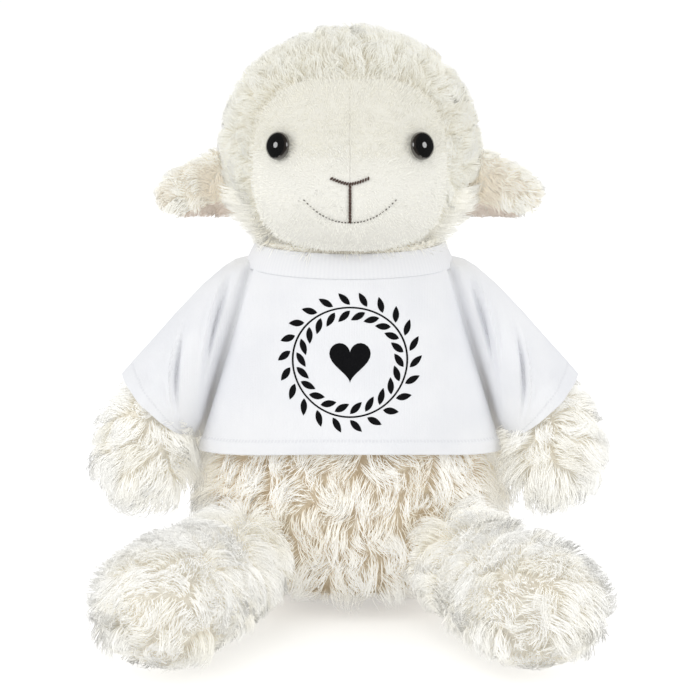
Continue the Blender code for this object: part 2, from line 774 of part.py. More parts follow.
def arm_route(side):
    """The arm's centre line: from the shoulder to the paw, bowed outwards a little."""
    start = Vector((side * SHOULDER_X, SHOULDER_Y, SHOULDER_HEIGHT))
    end = Vector((side * PAW_X, PAW_Y, PAW_HEIGHT))
    along = (end - start).normalized()
    outwards = Vector((side, 0, 0)) - along * along.x * side
    outwards.normalize()
    route = []
    for share in np.linspace(ARM_START_SHARE, 1.0, LIMB_RINGS):
        bow = ARM_BOW * math.sin(math.pi * max(share, 0.0) ** ARM_BOW_POWER)
        route.append(start + (end - start) * share + outwards * bow)
    return route


def arm_radii(change=0.0):
    shares = np.linspace(0.0, 1.0, LIMB_RINGS)
    swell = PAW_RADIUS - ARM_RADIUS
    return [
        ARM_RADIUS + swell * float(smooth_table(ARM_RADIUS_SHARES, share)[0]) + change
        for share in shares
    ]


def arm_volume(name, side, change, finish=None, pivot=None):
    rows, pole = limb_rings(arm_route(side), arm_radii(change))
    return link_mesh(name, solid_of_rings(rows, last_pole=pole), finish, pivot)


def shoulder_block(name, side):
    """A block that holds all of the arm on the shoulder's side of the cuff."""
    top = Vector((CUFF_TOP_X, 0.0, CUFF_TOP_HEIGHT))
    base = Vector((CUFF_BASE_X, 0.0, CUFF_BASE_HEIGHT))
    up = (top - base).normalized()
    out = Vector((up.z, 0.0, -up.x))
    half = CUFF_TOP_X
    rings = []
    for push in (-2 * half, CUFF_ROOM):
        middle = (top + base) / 2 + out * push
        corners = [
            middle + up * half * a + Vector((0.0, half * b, 0.0))
            for a, b in ((-1, -1), (1, -1), (1, 1), (-1, 1))
        ]
        rings.append([Vector((side * c.x, c.y, c.z)) for c in corners])
    return link_mesh(name, solid_of_rings(rings))


def make_arm(side, word, torso_keepout, shirt_keepout):
    pivot = (side * SHOULDER_AXIS_X, 0.0, SHOULDER_AXIS_HEIGHT)
    cover = arm_volume(f"arm_{word}_cover", side, 0.0, CURLY_PLUSH, pivot)
    fill = arm_volume(f"arm_{word}_fill", side, -ARM_PILE - FILL_ROOM, FIBRE, pivot)
    boolean(cover, torso_keepout)
    boolean(cover, shirt_keepout)
    grip = shoulder_block(f"sleeve_{word}_grip", side)
    room = -CLOTH - ARM_ROOM
    boolean(grip, sleeve_volume(f"sleeve_{word}_room", side, room, OVERRUN))
    boolean(cover, grip)
    boolean(cover, arm_volume(f"arm_{word}_inside", side, -ARM_PILE))
    boolean(fill, torso_keepout)


def leg_route(side):
    start = Vector((side * HIP_X, HIP_Y, HIP_HEIGHT))
    end = Vector((side * FOOT_X, FOOT_Y, FOOT_RADIUS - SEAT_PRESS))
    shares = np.linspace(0.0, 1.0, LIMB_RINGS)
    radii = leg_radii()
    route = []
    for share, radius in zip(shares, radii):
        point = start + (end - start) * share
        rest = radius - SEAT_PRESS
        point.z = start.z + (rest - start.z) * min(share / LEG_SETTLE_SHARE, 1.0)
        route.append(point)
    return route


def leg_radii(change=0.0):
    shares = np.linspace(0.0, 1.0, LIMB_RINGS)
    swell = FOOT_RADIUS - LEG_RADIUS
    return [
        LEG_RADIUS + swell * float(smooth_table(LEG_RADIUS_SHARES, share)[0]) + change
        for share in shares
    ]


def leg_volume(name, side, change, finish=None, pivot=None):
    rows, pole = limb_rings(leg_route(side), leg_radii(change), press=True)
    return link_mesh(name, solid_of_rings(rows, last_pole=pole), finish, pivot)


def leg_pivot(side):
    """A point on the leg's joint axis, over the top of its seam."""
    start = Vector((side * HIP_X, HIP_Y, 0.0))
    end = Vector((side * FOOT_X, FOOT_Y, 0.0))
    point = start + (end - start).normalized() * LEG_AXIS_OUT
    point.z = LEG_AXIS_HEIGHT
    return point


def make_leg(side, word, torso_keepout):
    pivot = leg_pivot(side)
    cover = leg_volume(f"leg_{word}_cover", side, 0.0, CURLY_PLUSH, pivot)
    fill = leg_volume(f"leg_{word}_fill", side, -LEG_PILE - FILL_ROOM, FIBRE, pivot)
    boolean(cover, torso_keepout)
    boolean(cover, leg_volume(f"leg_{word}_inside", side, -LEG_PILE))
    boolean(fill, torso_keepout)


# Tail


def make_tail(torso_keepout):
    start = Vector((0.0, TAIL_ROOT_Y, TAIL_ROOT_HEIGHT))
    end = Vector((0.0, TAIL_TIP_Y, TAIL_TIP_HEIGHT))
    shares = np.linspace(0.0, 1.0, LIMB_RINGS)
    bulge = Vector((0.0, TAIL_BULGE, 0.0))
    route = [start + (end - start) * s + bulge * math.sin(math.pi * s) for s in shares]
    radii = [TAIL_RADIUS * float(smooth_table(TAIL_RADIUS_SHARES, s)[0]) for s in shares]
    rings = []
    for point, radius in zip(route, radii):
        rings.append(
            [
                point + Vector((radius * math.cos(turn), radius * math.sin(turn), 0.0))
                for turn in turn_angles(LIMB_SIDES)
            ]
        )
    last = radii[-1]
    for step in range(1, CAP_RINGS):
        angle = step * math.pi / 2 / CAP_RINGS
        centre = end - Vector((0.0, 0.0, last * math.sin(angle)))
        size = last * math.cos(angle)
        rings.append(
            [
                centre + Vector((size * math.cos(turn), size * math.sin(turn), 0.0))
                for turn in turn_angles(LIMB_SIDES)
            ]
        )
    pole = end - Vector((0.0, 0.0, last))
    pivot = (0.0, TAIL_AXIS_Y, TAIL_AXIS_HEIGHT)
    tail = link_mesh("tail", solid_of_rings(rings, last_pole=pole), CURLY_PLUSH, pivot)
    boolean(tail, torso_keepout)


# T-shirt


def collar_bottom():
    return NECK_HEIGHT - COLLAR_HEIGHT


def ripple(folds, turn):
    """A share from 0 to 1 that comes and goes once for each fold round the cloth."""
    return (1 + math.cos(folds * turn)) / 2


def shirt_rings(outside):
    """The shirt body's outer or inner face, from the hem up to the collar."""
    top = collar_bottom() - GAP
    rings = []
    for level in SHIRT_RING_SHARES:
        ring = []
        for turn in turn_angles(SHIRT_SIDES) + math.pi / SHIRT_SIDES:
            front = max(-math.sin(turn), 0.0)
            low = SHIRT_HEM_HEIGHT + SHIRT_FRONT_RISE * front**SHIRT_FRONT_POWER
            height = low + (top - low) * level
            thickness = CLOTH if outside else 0.0
            if outside and (height - low) < HEM_DEPTH:
                thickness += HEM_EXTRA
            loose = (1 - level) ** SHIRT_FOLD_POWER
            wave = SHIRT_FOLD * loose * ripple(SHIRT_FOLDS, turn)
            grow = SHIRT_ROOM + thickness + wave
            half_width, half_depth, centre = torso_size(height, grow)
            ring.append(
                Vector(
                    (
                        half_width * math.cos(turn),
                        centre + half_depth * math.sin(turn),
                        height,
                    )
                )
            )
        rings.append(ring)
    return rings


def sleeve_ring(side, share, shrink=0.0, push=0.0):
    """One ring of the sleeve, fanned between the armhole and the cuff about the underarm."""
    part = max(share, 0.0)
    top = Vector((SLEEVE_TOP_X, 0.0, SLEEVE_TOP_HEIGHT))
    top = top.lerp(Vector((CUFF_TOP_X, 0.0, CUFF_TOP_HEIGHT)), part)
    base = Vector((SLEEVE_BASE_X, 0.0, SLEEVE_BASE_HEIGHT))
    base = base.lerp(Vector((CUFF_BASE_X, 0.0, CUFF_BASE_HEIGHT)), part)
    up = (top - base).normalized()
    out = Vector((up.z, 0.0, -up.x))
    swell = SLEEVE_BULGE * math.sin(math.pi * part)
    top += (out + up) * swell
    centre = (top + base) / 2
    if share < 0:
        centre -= out * SLEEVE_REACH_IN * abs(share)
    centre += out * push
    centre.y = CUFF_Y * part
    half_height = (top - base).length / 2 - shrink
    half_depth = ARMHOLE_HALF_DEPTH + (CUFF_HALF_DEPTH - ARMHOLE_HALF_DEPTH) * part
    half_depth += swell - shrink
    loose = SLEEVE_FOLD * part**SLEEVE_FOLD_POWER
    ring = []
    for turn in turn_angles(SLEEVE_SIDES):
        wave = loose * (1 - ripple(SLEEVE_FOLDS, turn))
        point = centre + up * math.sin(turn) * (half_height + wave)
        point += Vector((0, 1, 0)) * math.cos(turn) * (half_depth + wave)
        ring.append(Vector((side * point.x, point.y, point.z)))
    return ring


def sleeve_volume(name, side, grow, reach=0.0, finish=None, pivot=None):
    shares = SLEEVE_RING_SHARES
    rings = [sleeve_ring(side, share, -grow) for share in shares]
    if reach:
        rings.insert(0, sleeve_ring(side, shares[0], -grow, -reach))
        rings.append(sleeve_ring(side, shares[-1], -grow, reach))
    return link_mesh(name, solid_of_rings(rings), finish, pivot)


def make_shirt(torso_keepout, hem_keepout):
    """Front, back, two sleeves and the ribbed collar, with the panels open at the armholes."""
    wide = TORSO_HALF_WIDTH + OVERRUN
    deep = TORSO_HALF_DEPTH + OVERRUN
    centre = torso_size(SHIRT_HEM_HEIGHT)[2]
    panels = {
        word: link_mesh(
            f"shirt_{word}", wall_of_rings(shirt_rings(True), shirt_rings(False)), JERSEY
        )
        for word in ("front", "back")
    }
    for word, side in (("left", 1), ("right", -1)):
        pivot = (side * SHOULDER_AXIS_X, 0.0, SHOULDER_AXIS_HEIGHT)
        sleeve = sleeve_volume(f"sleeve_{word}", side, 0.0, 0.0, JERSEY, pivot)
        boolean(sleeve, sleeve_volume(f"sleeve_{word}_inside", side, -CLOTH, SLEEVE_OPEN))
        boolean(sleeve, torso_keepout)
        boolean(sleeve, hem_keepout)
        for place, share in enumerate(ARMHOLE_TURN_SHARES):
            name = f"armhole_{word}_{place}"
            armhole = sleeve_volume(name, side, CUFF_ROOM, 2 * CUFF_ROOM, None, pivot)
            armhole.rotation_euler.y = -side * math.radians(ARM_LIFT_DEG) * share
            for panel in panels.values():
                boolean(panel, armhole)
    for word, low_y, high_y in (
        ("front", -deep, centre - GAP / 2),
        ("back", centre + GAP / 2, deep),
    ):
        low = (-wide, low_y, SHIRT_HEM_HEIGHT - OVERRUN)
        high = (wide, high_y, NECK_HEIGHT + OVERRUN)
        boolean(panels[word], box(f"shirt_{word}_part", low, high), "INTERSECT")

    outer, inner = [], []
    for step, share in COLLAR_SHARES:
        height = collar_bottom() + COLLAR_HEIGHT * step
        outer.append(torso_ring(height, GAP + COLLAR_CLOTH * share))
        inner.append(torso_ring(height, GAP))
    link_mesh("neck_rib", wall_of_rings(outer, inner), JERSEY)


def main():
    clear_scene()
    make_torso()
    make_head()
    torso_keepout = torso_volume("torso_keepout", GAP, 0.0, NECK_HEIGHT)
    shirt = 2 * SHIRT_ROOM + CLOTH + HEM_EXTRA + SHIRT_FOLD
    shirt_keepout = torso_volume("shirt_keepout", shirt, SEAT_ROUNDING, UNDERARM_HEIGHT)
    hem_keepout = torso_volume("hem_keepout", shirt, SEAT_ROUNDING, CUFF_BASE_HEIGHT)
    head_keepout = head_volume("head_keepout", -GAP)
    for word, side in (("left", 1), ("right", -1)):
        make_ear(side, word, head_keepout)
        make_arm(side, word, torso_keepout, shirt_keepout)
        make_leg(side, word, torso_keepout)
    make_tail(torso_keepout)
    make_shirt(torso_keepout, hem_keepout)


main()
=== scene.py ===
# %% [markdown]
# # A plush sheep in a T-shirt
# The toy is sewn from a long curly pile, with a short smooth pile on its face, and it wears a white T-shirt.
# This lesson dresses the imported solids. Each plush piece gets a padded skin with real strands of pile on it,
# because fur is what one sees first, and a painted surface would look like clay.

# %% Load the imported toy
import math

import bpy
import numpy as np
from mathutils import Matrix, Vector
from mathutils.bvhtree import BVHTree
from mathutils.kdtree import KDTree


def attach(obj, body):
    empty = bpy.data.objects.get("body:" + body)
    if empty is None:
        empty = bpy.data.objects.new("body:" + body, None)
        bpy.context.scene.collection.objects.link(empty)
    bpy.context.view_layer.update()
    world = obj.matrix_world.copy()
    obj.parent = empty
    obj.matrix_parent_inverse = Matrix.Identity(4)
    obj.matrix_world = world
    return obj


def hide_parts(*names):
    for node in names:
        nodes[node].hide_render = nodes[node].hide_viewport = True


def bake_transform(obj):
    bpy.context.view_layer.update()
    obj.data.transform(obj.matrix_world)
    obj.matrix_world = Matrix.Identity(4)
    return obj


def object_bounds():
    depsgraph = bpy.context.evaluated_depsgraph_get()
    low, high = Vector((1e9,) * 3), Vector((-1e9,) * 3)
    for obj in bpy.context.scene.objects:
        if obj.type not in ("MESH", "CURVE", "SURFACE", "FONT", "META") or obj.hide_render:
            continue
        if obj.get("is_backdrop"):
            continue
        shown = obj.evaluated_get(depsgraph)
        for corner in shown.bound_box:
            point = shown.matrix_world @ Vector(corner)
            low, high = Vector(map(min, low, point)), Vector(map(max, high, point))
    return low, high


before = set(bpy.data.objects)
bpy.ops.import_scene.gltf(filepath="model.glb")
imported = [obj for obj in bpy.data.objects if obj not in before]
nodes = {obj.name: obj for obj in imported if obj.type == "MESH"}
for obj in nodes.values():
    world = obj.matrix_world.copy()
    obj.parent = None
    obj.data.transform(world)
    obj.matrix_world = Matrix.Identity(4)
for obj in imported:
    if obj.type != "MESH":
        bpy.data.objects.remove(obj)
cad_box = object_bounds()
print("solids:", len(nodes))

# %% [markdown]
# Operators work on whatever is selected, so a few small helpers keep the selection plain.
# They are the steps one would do by hand: pick a piece, apply a modifier, move its points, merge its doubles.

# %% Small helpers
def pick(*pieces):
    bpy.ops.object.select_all(action="DESELECT")
    for piece in pieces:
        piece.select_set(True)
    bpy.context.view_layer.objects.active = pieces[0]
    return pieces[0]


def name_it(name):
    piece = bpy.context.active_object
    piece.name = piece.data.name = name
    return piece


def added(operator, name, **settings):
    """Adds a primitive with nothing else selected."""
    bpy.ops.object.select_all(action="DESELECT")
    operator(**settings)
    return name_it(name)


def linked(name, mesh):
    """A new piece from a mesh that code has made."""
    piece = bpy.data.objects.new(name, mesh)
    bpy.context.collection.objects.link(piece)
    return piece


def settle(piece):
    """Puts the piece's place, turn and size into its mesh."""
    pick(piece)
    bpy.ops.object.transform_apply(location=True, rotation=True, scale=True)
    return piece


def modify(piece, kind, **settings):
    """Adds a modifier, sets it and applies it."""
    pick(piece)
    step = piece.modifiers.new(kind.lower(), kind)
    for key, value in settings.items():
        setattr(step, key, value)
    bpy.ops.object.modifier_apply(modifier=step.name)
    return piece


def read_rows(piece, what):
    found = np.empty(len(piece.data.vertices) * 3)
    piece.data.vertices.foreach_get(what, found)
    return found.reshape(-1, 3)


def points_of(piece):
    return read_rows(piece, "co")


def normals_of(piece):
    return read_rows(piece, "normal")


def set_points(piece, points):
    piece.data.vertices.foreach_set("co", np.ascontiguousarray(points, float).ravel())
    piece.data.update()


def edit(piece, *steps):
    """Runs edit-mode steps on the whole mesh."""
    pick(piece)
    bpy.ops.object.mode_set(mode="EDIT")
    bpy.ops.mesh.select_all(action="SELECT")
    for step in steps:
        step()
    bpy.ops.object.mode_set(mode="OBJECT")
    return piece


def weld():
    bpy.ops.mesh.remove_doubles(threshold=1e-6)


def face_out():
    bpy.ops.mesh.normals_make_consistent(inside=False)


def face_towards(piece, direction):
    """Flips the faces where most of them point away from direction."""
    if (normals_of(piece) * direction).sum(1).mean() < 0:
        edit(piece, bpy.ops.mesh.flip_normals)


def smooth(piece):
    pick(piece)
    bpy.ops.object.shade_smooth()
    return piece


def laid_grid(name, across, up, place, ring=False):
    """A grid whose points are placed by place(u, v), with u and v from 0 to 1. A ring is closed along u."""
    sheet = added(bpy.ops.mesh.primitive_grid_add, name, x_subdivisions=across, y_subdivisions=up, size=1)
    flat = points_of(sheet)
    set_points(sheet, place(flat[:, 0] + 0.5, flat[:, 1] + 0.5))
    if ring:
        edit(sheet, weld)
    return sheet


def unit(rows):
    return rows / np.maximum(np.linalg.norm(rows, axis=-1, keepdims=True), 1e-12)


def ramp(values, low, high):
    """0 below low, 1 above high and smooth between them."""
    t = np.clip((values - low) / (high - low), 0, 1)
    return t * t * (3 - 2 * t)


# %% [markdown]
# The shapes repeat the sizes that the toy was drawn with, in metres.
# The head is one smooth form: a skull and a muzzle, each an ellipsoid, blended where they meet.

# %% Sizes of the toy
SIDES = (("left", 1), ("right", -1))
SKULL, SKULL_HALF = np.array([0, -0.001, 0.2155]), np.array([0.0595, 0.050, 0.0535])
MUZZLE, MUZZLE_HALF = np.array([0, -0.031, 0.1965]), np.array([0.041, 0.034, 0.0255])
HEAD_BLEND = 9
NECK_HEIGHT = 0.171
NECK_CUT = NECK_HEIGHT + 0.0006
TORSO_HALF = (0.071, 0.063)
SEAT_ROUND, SEAT_POWER = 0.040, 3.2
# Each row: share of the neck's height, shares of the half width and half depth, and how far back the centre lies.
TORSO_ROWS = np.array([
    (0.00, 1.000, 1.000, -0.02), (0.28, 1.000, 1.000, -0.05), (0.41, 1.000, 1.000, -0.05),
    (0.56, 0.935, 0.920, -0.02), (0.70, 0.840, 0.805, 0.01), (0.82, 0.755, 0.715, 0.03),
    (0.93, 0.655, 0.640, 0.03), (1.00, 0.580, 0.590, 0.03),
])
EAR_ROOT, EAR_TIP = np.array([0.046, -0.003, 0.2006]), np.array([0.0895, -0.008, 0.1910])
EAR_HALF_HEIGHT, EAR_HALF_THICKNESS, EAR_LINING_DEPTH = 0.0170, 0.0080, 0.0054
PAW = np.array([0.0965, -0.023, 0.0725])
HIP, FOOT = np.array([0.036, -0.030, 0.039]), np.array([0.078, -0.122, 0.0325])
CUFF_TOP, CUFF_BASE = np.array([0.105, 0, 0.111]), np.array([0.0745, 0, 0.0812])
HEM_HEIGHT, HEM_RISE = 0.0746, 0.010


def head_field(points, shrink):
    """Below 1 inside the head, 1 on its surface."""
    skull = np.linalg.norm((points - SKULL) / (SKULL_HALF - shrink), axis=-1).clip(1e-3)
    muzzle = np.linalg.norm((points - MUZZLE) / (MUZZLE_HALF - shrink), axis=-1).clip(1e-3)
    return (skull**-HEAD_BLEND + muzzle**-HEAD_BLEND) ** (-1 / HEAD_BLEND)


def head_reach(start, direction, shrink):
    """How far the head's surface lies from points inside it, each in its direction, found by halving the distance."""
    near, far = np.zeros(len(start)), np.full(len(start), 0.16)
    for _ in range(36):
        middle = (near + far) / 2
        inside = head_field(start + direction * middle[:, None], shrink) < 1
        near, far = np.where(inside, middle, near), np.where(inside, far, middle)
    return near


def head_front(x, z, shrink=0.0):
    """The points of the head's front face at x, z."""
    start = np.stack([x, np.full_like(x, SKULL[1]), z], 1)
    ahead = np.tile([0.0, -1.0, 0.0], (len(x), 1))
    return start + ahead * head_reach(start, ahead, shrink)[:, None]


def head_outward(points):
    """The way out of the head at points on its surface."""
    step = 5e-4
    slope = [head_field(points + axis * step, 0) - head_field(points - axis * step, 0) for axis in np.eye(3)]
    return unit(np.stack(slope, 1))


def torso_outline(height, grow=0.0):
    """Half width, half depth and centre of the torso at each height, smooth between the rows."""
    share = np.asarray(height) / NECK_HEIGHT
    keys, values = TORSO_ROWS[:, 0], TORSO_ROWS[:, 1:]
    slopes = np.gradient(values, keys, axis=0)
    at = np.clip(np.searchsorted(keys, share) - 1, 0, len(keys) - 2)
    span = (keys[at + 1] - keys[at])[:, None]
    t = np.clip((share[:, None] - keys[at][:, None]) / span, 0, 1)
    found = (1 + 2 * t) * (1 - t) ** 2 * values[at] + t * t * (3 - 2 * t) * values[at + 1]
    found += t * (1 - t) ** 2 * span * slopes[at] + t * t * (t - 1) * span * slopes[at + 1]
    rise = np.clip(1 - (height + 0.0005 + grow) / (SEAT_ROUND + grow), 0, 1)
    shut = (1 - rise**SEAT_POWER) ** (1 / SEAT_POWER)
    half_width, half_depth = (TORSO_HALF[k] * found[:, k] + grow for k in (0, 1))
    return half_width * shut, half_depth * shut, TORSO_HALF[1] * found[:, 2]


# %% [markdown]
# Materials are written as sums. A small class wraps a socket, so that `noise * 0.2 + 0.8` adds the Math nodes,
# and one method adds any other node from its type, its settings and what goes into its sockets.

# %% A way to write materials
class Number:
    """A socket that holds a number, with the sums that these finishes use."""

    def __init__(self, paint, socket):
        self.paint, self.socket = paint, socket

    def sum(self, operation, *others):
        entries = dict(enumerate((self, *others)))
        return self.paint.node("ShaderNodeMath", {"operation": operation}, entries)

    def __add__(self, other): return self.sum("ADD", other)
    def __mul__(self, other): return self.sum("MULTIPLY", other)
    def __sub__(self, other): return self.sum("SUBTRACT", other)
    def __rsub__(self, other): return (self * -1.0) + other

    def clamp(self):
        return self.sum("MAXIMUM", 0.0).sum("MINIMUM", 1.0)

    def step(self, low, high):
        """0 below low, 1 above high and smooth between them."""
        return self.paint.node("ShaderNodeMapRange", {"interpolation_type": "SMOOTHSTEP"},
                               {"Value": self, "From Min": low, "From Max": high})


class Paint:
    """A new material whose nodes are added one by one."""

    def __init__(self, name):
        self.material = bpy.data.materials.new(name)
        self.material.use_nodes = True
        self.tree = self.material.node_tree
        self.tree.nodes.clear()
        self.out = self.tree.nodes.new("ShaderNodeOutputMaterial")

    def node(self, kind, settings=None, entries=None, result=0):
        made = self.tree.nodes.new(kind)
        for key, value in (settings or {}).items():
            setattr(made, key, value)
        for key, value in (entries or {}).items():
            self.feed(made.inputs[key], value)
        return Number(self, made.outputs[result])

    def feed(self, entry, value):
        if isinstance(value, Number):
            self.tree.links.new(value.socket, entry)
        elif isinstance(value, (tuple, list)) and entry.type == "RGBA":
            entry.default_value = (*value[:3], 1.0)
        else:
            entry.default_value = value

    def place(self):
        return self.node("ShaderNodeTexCoord", result="Object")

    def map(self, name):
        return self.node("ShaderNodeUVMap", {"uv_map": name})

    def part(self, vector, axis):
        return self.node("ShaderNodeSeparateXYZ", entries={0: vector}, result=axis)

    def noise(self, vector, scale, detail=2.0, stretch=None):
        if stretch:
            vector = self.node("ShaderNodeMapping", entries={"Vector": vector, "Scale": stretch})
        entries = {"Vector": vector, "Scale": scale, "Detail": detail}
        return self.node("ShaderNodeTexNoise", entries=entries, result="Fac")

    def blend(self, share, one, other):
        return self.node("ShaderNodeMix", {"data_type": "RGBA"}, {0: share, 6: one, 7: other}, result=2)

    def bump(self, height, depth, strength=1.0):
        return self.node("ShaderNodeBump", entries={"Height": height, "Distance": depth, "Strength": strength})

    def finish(self, colour, roughness, normal=None, **more):
        entries = {"Base Color": colour, "Roughness": roughness}
        if normal is not None:
            entries["Normal"] = normal
        entries.update({key.replace("_", " "): value for key, value in more.items()})
        shader = self.node("ShaderNodeBsdfPrincipled", entries=entries)
        self.tree.links.new(shader.socket, self.out.inputs["Surface"])
        return self.material


def mottled(name, low, high, roughness, scale, depth, strength=1.0, detail=2, reach=None, **more):
    """Two tones that a fine noise mixes. The same noise raises the surface."""
    paint = Paint(name)
    grain = paint.noise(paint.place(), scale, detail)
    share = grain.step(*reach) if reach else grain
    return paint.finish(paint.blend(share, low, high), roughness, paint.bump(grain, depth, strength), **more)


def wear(piece, material):
    piece.data.materials.clear()
    piece.data.materials.append(material)


# %% [markdown]
# The stage comes first, because every later look needs it. The camera stands where the photograph's camera stood,
# a little above the toy. The floor is plain and pale, and large soft lamps give the even light of a product picture.

# %% Camera
CAMERA_PLACE, CAMERA_AIM, CAMERA_ANGLE = Vector((0, -0.929, 0.3155)), Vector((0, 0, 0.118)), 19.8


def turned_to(place, aim):
    return (aim - place).to_track_quat("-Z", "Y").to_euler()


bpy.ops.object.select_all(action="DESELECT")
bpy.ops.object.camera_add(location=CAMERA_PLACE, rotation=turned_to(CAMERA_PLACE, CAMERA_AIM))
camera = bpy.context.active_object
camera.data.angle = math.radians(CAMERA_ANGLE)
camera.data.clip_start, camera.data.clip_end = 0.05, 20
bpy.context.scene.camera = camera
bpy.context.scene.view_settings.view_transform = "Standard"
print("camera at", tuple(round(x, 3) for x in camera.location))

# %% [markdown]
# Two large round lamps, above and behind, light the toy evenly. Two smaller ones at its sides are the only ones
# that its eyes mirror, as two small highlights. The sky fills the shade, and it is white to the camera but dark to
# anything glossy, so that the eyes stay black.

# %% Lamps and sky
LAMP_AIM, SKY_STRENGTH, MIRRORED_SKY = Vector((0, 0, 0.12)), 0.71, 0.06
for lamp_name, place, size, power, mirrored in (
    ("key_lamp", (-0.5, -1.6, 1.8), 1.4, 7.5, False), ("back_lamp", (0.3, 1.4, 1.5), 1.4, 7, False),
    ("left_lamp", (1.4, -0.8, 0.62), 0.75, 5.2, True), ("right_lamp", (-1.4, -0.8, 0.62), 0.75, 5.2, True),
):
    bpy.ops.object.light_add(type="AREA", location=place, rotation=turned_to(Vector(place), LAMP_AIM))
    lamp = bpy.context.active_object
    lamp.name, lamp.visible_glossy = lamp_name, mirrored
    lamp.data.shape, lamp.data.size, lamp.data.energy = "DISK", size, power

world = bpy.context.scene.world or bpy.data.worlds.new("studio")
bpy.context.scene.world = world
world.use_nodes = True
sky = world.node_tree
soft = sky.nodes["Background"]
soft.inputs["Color"].default_value = (1, 1, 1, 1)
white = sky.nodes.new("ShaderNodeBackground")
white.inputs["Color"].default_value, white.inputs["Strength"].default_value = (1, 1, 1, 1), 1.0
seen = sky.nodes.new("ShaderNodeLightPath")
shown = sky.nodes.new("ShaderNodeMixShader")
dim = sky.nodes.new("ShaderNodeMapRange")
dim.inputs["To Min"].default_value, dim.inputs["To Max"].default_value = SKY_STRENGTH, MIRRORED_SKY
sky.links.new(seen.outputs["Is Glossy Ray"], dim.inputs["Value"])
sky.links.new(dim.outputs[0], soft.inputs["Strength"])
for a, b in ((seen.outputs["Is Camera Ray"], shown.inputs[0]), (soft.outputs[0], shown.inputs[1]),
             (white.outputs[0], shown.inputs[2]), (shown.outputs[0], sky.nodes["World Output"].inputs["Surface"])):
    sky.links.new(a, b)

# %% [markdown]
# The floor is matt and keeps the toy's shadow. To the camera alone it also glows a little, which whitens the
# background and puts no more light on the toy.

# %% Floor
floor = settle(added(bpy.ops.mesh.primitive_plane_add, "floor", size=16, location=(0, 0, -0.0002)))
paint = Paint("pale_floor")
seen = paint.node("ShaderNodeLightPath", result="Is Camera Ray")
matt = paint.node("ShaderNodeBsdfDiffuse", entries={"Color": (0.90, 0.90, 0.90)})
glow = paint.node("ShaderNodeEmission", entries={"Color": (1, 1, 1), "Strength": 0.40})
lit = paint.node("ShaderNodeAddShader", entries={0: matt, 1: glow})
shown = paint.node("ShaderNodeMixShader", entries={0: seen, 1: matt, 2: lit})
paint.tree.links.new(shown.socket, paint.out.inputs["Surface"])
wear(floor, paint.material)
floor.visible_glossy = False
floor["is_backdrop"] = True

# %% [markdown]
# The pile needs its own finish. Each strand carries a map: across it goes a tone that was dealt to that strand,
# and along it goes the way from root to tip. Roots are tan and tips nearly white, as on the toy.
# The same map is what a bake would use, so thousands of strands share one small picture.

# %% Finish of the pile
TONES, PILE_GLOW = 48, 0.26


def pile_finish(name, root, middle, tip, dark):
    """Pile whose light strands run from root over middle to tip, and whose dark ones keep near dark. Light that
    goes from hair to hair inside real pile is stood for by a faint glow of the pile's own colour."""
    paint = Paint(name)
    strand = paint.map("Strand")
    tone, along = paint.part(strand, "X"), paint.part(strand, "Y")
    tinted = paint.blend(tone, dark, middle)
    low = paint.blend(along.step(0.0, 0.36), root, tinted)
    whole = paint.blend(along.step(0.25, 0.9) * (tone * 1.2 + 0.05).clamp(), low, tip)
    return paint.finish(whole, 0.9, Specular_IOR_Level=0.0, Emission_Color=whole, Emission_Strength=PILE_GLOW)


curly_pile, limb_pile, head_pile, jowl_pile, ear_pile, lining_pile = (pile_finish(*colours) for colours in (
    ("curly_pile", (0.62, 0.52, 0.38), (0.94, 0.925, 0.88), (0.965, 0.96, 0.925), (0.87, 0.825, 0.72)),
    ("limb_pile", (0.74, 0.70, 0.60), (0.945, 0.935, 0.895), (0.97, 0.965, 0.935), (0.87, 0.845, 0.76)),
    ("head_pile", (0.68, 0.64, 0.52), (0.79, 0.78, 0.71), (0.845, 0.84, 0.785), (0.73, 0.705, 0.61)),
    # The jowl pile is lighter than the head's: painted light for the shaded jowls and neck.
    ("jowl_pile", (0.82, 0.79, 0.69), (0.915, 0.90, 0.83), (0.95, 0.94, 0.88), (0.87, 0.84, 0.75)),
    ("ear_pile", (0.74, 0.68, 0.57), (0.90, 0.89, 0.82), (0.94, 0.93, 0.875), (0.80, 0.735, 0.62)),
    ("lining_pile", (0.56, 0.47, 0.39), (0.68, 0.60, 0.53), (0.74, 0.67, 0.60), (0.60, 0.51, 0.43)),
))
body_backing, backing = (
    mottled(name, low, high, 0.95, 120, 0.001, detail=4, reach=(0.35, 0.65)) for name, low, high in (
        ("body_backing", (0.62, 0.50, 0.35), (0.80, 0.71, 0.56)),
        ("pile_backing", (0.84, 0.79, 0.69), (0.92, 0.89, 0.81)),
    ))
print("finishes:", len(bpy.data.materials))

# %% [markdown]
# A piece given one body rides on it. The solids that it stands for are hidden. One helper does both.

# %% Whose piece it is
def own(piece, body, slot, *replaced):
    """Lets a piece ride on a body, or where body holds a bend's names and ends, puts its place into its mesh."""
    if isinstance(body, str):
        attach(piece, body)
    else:
        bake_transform(piece)
    if replaced:
        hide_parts(*replaced)
    return piece


# %% [markdown]
# A strand of pile is a thin closed spike with a few bends. Planting them by hand is hopeless, so this step is done
# in code: roots are dealt over the skin, each root joins the nearest tuft, and the strands of a tuft lean together,
# twist round its middle and gather at their tips. That is what makes rosettes on long curly pile.

# %% Roots
UNDERSIDE_SHARE = 0.3


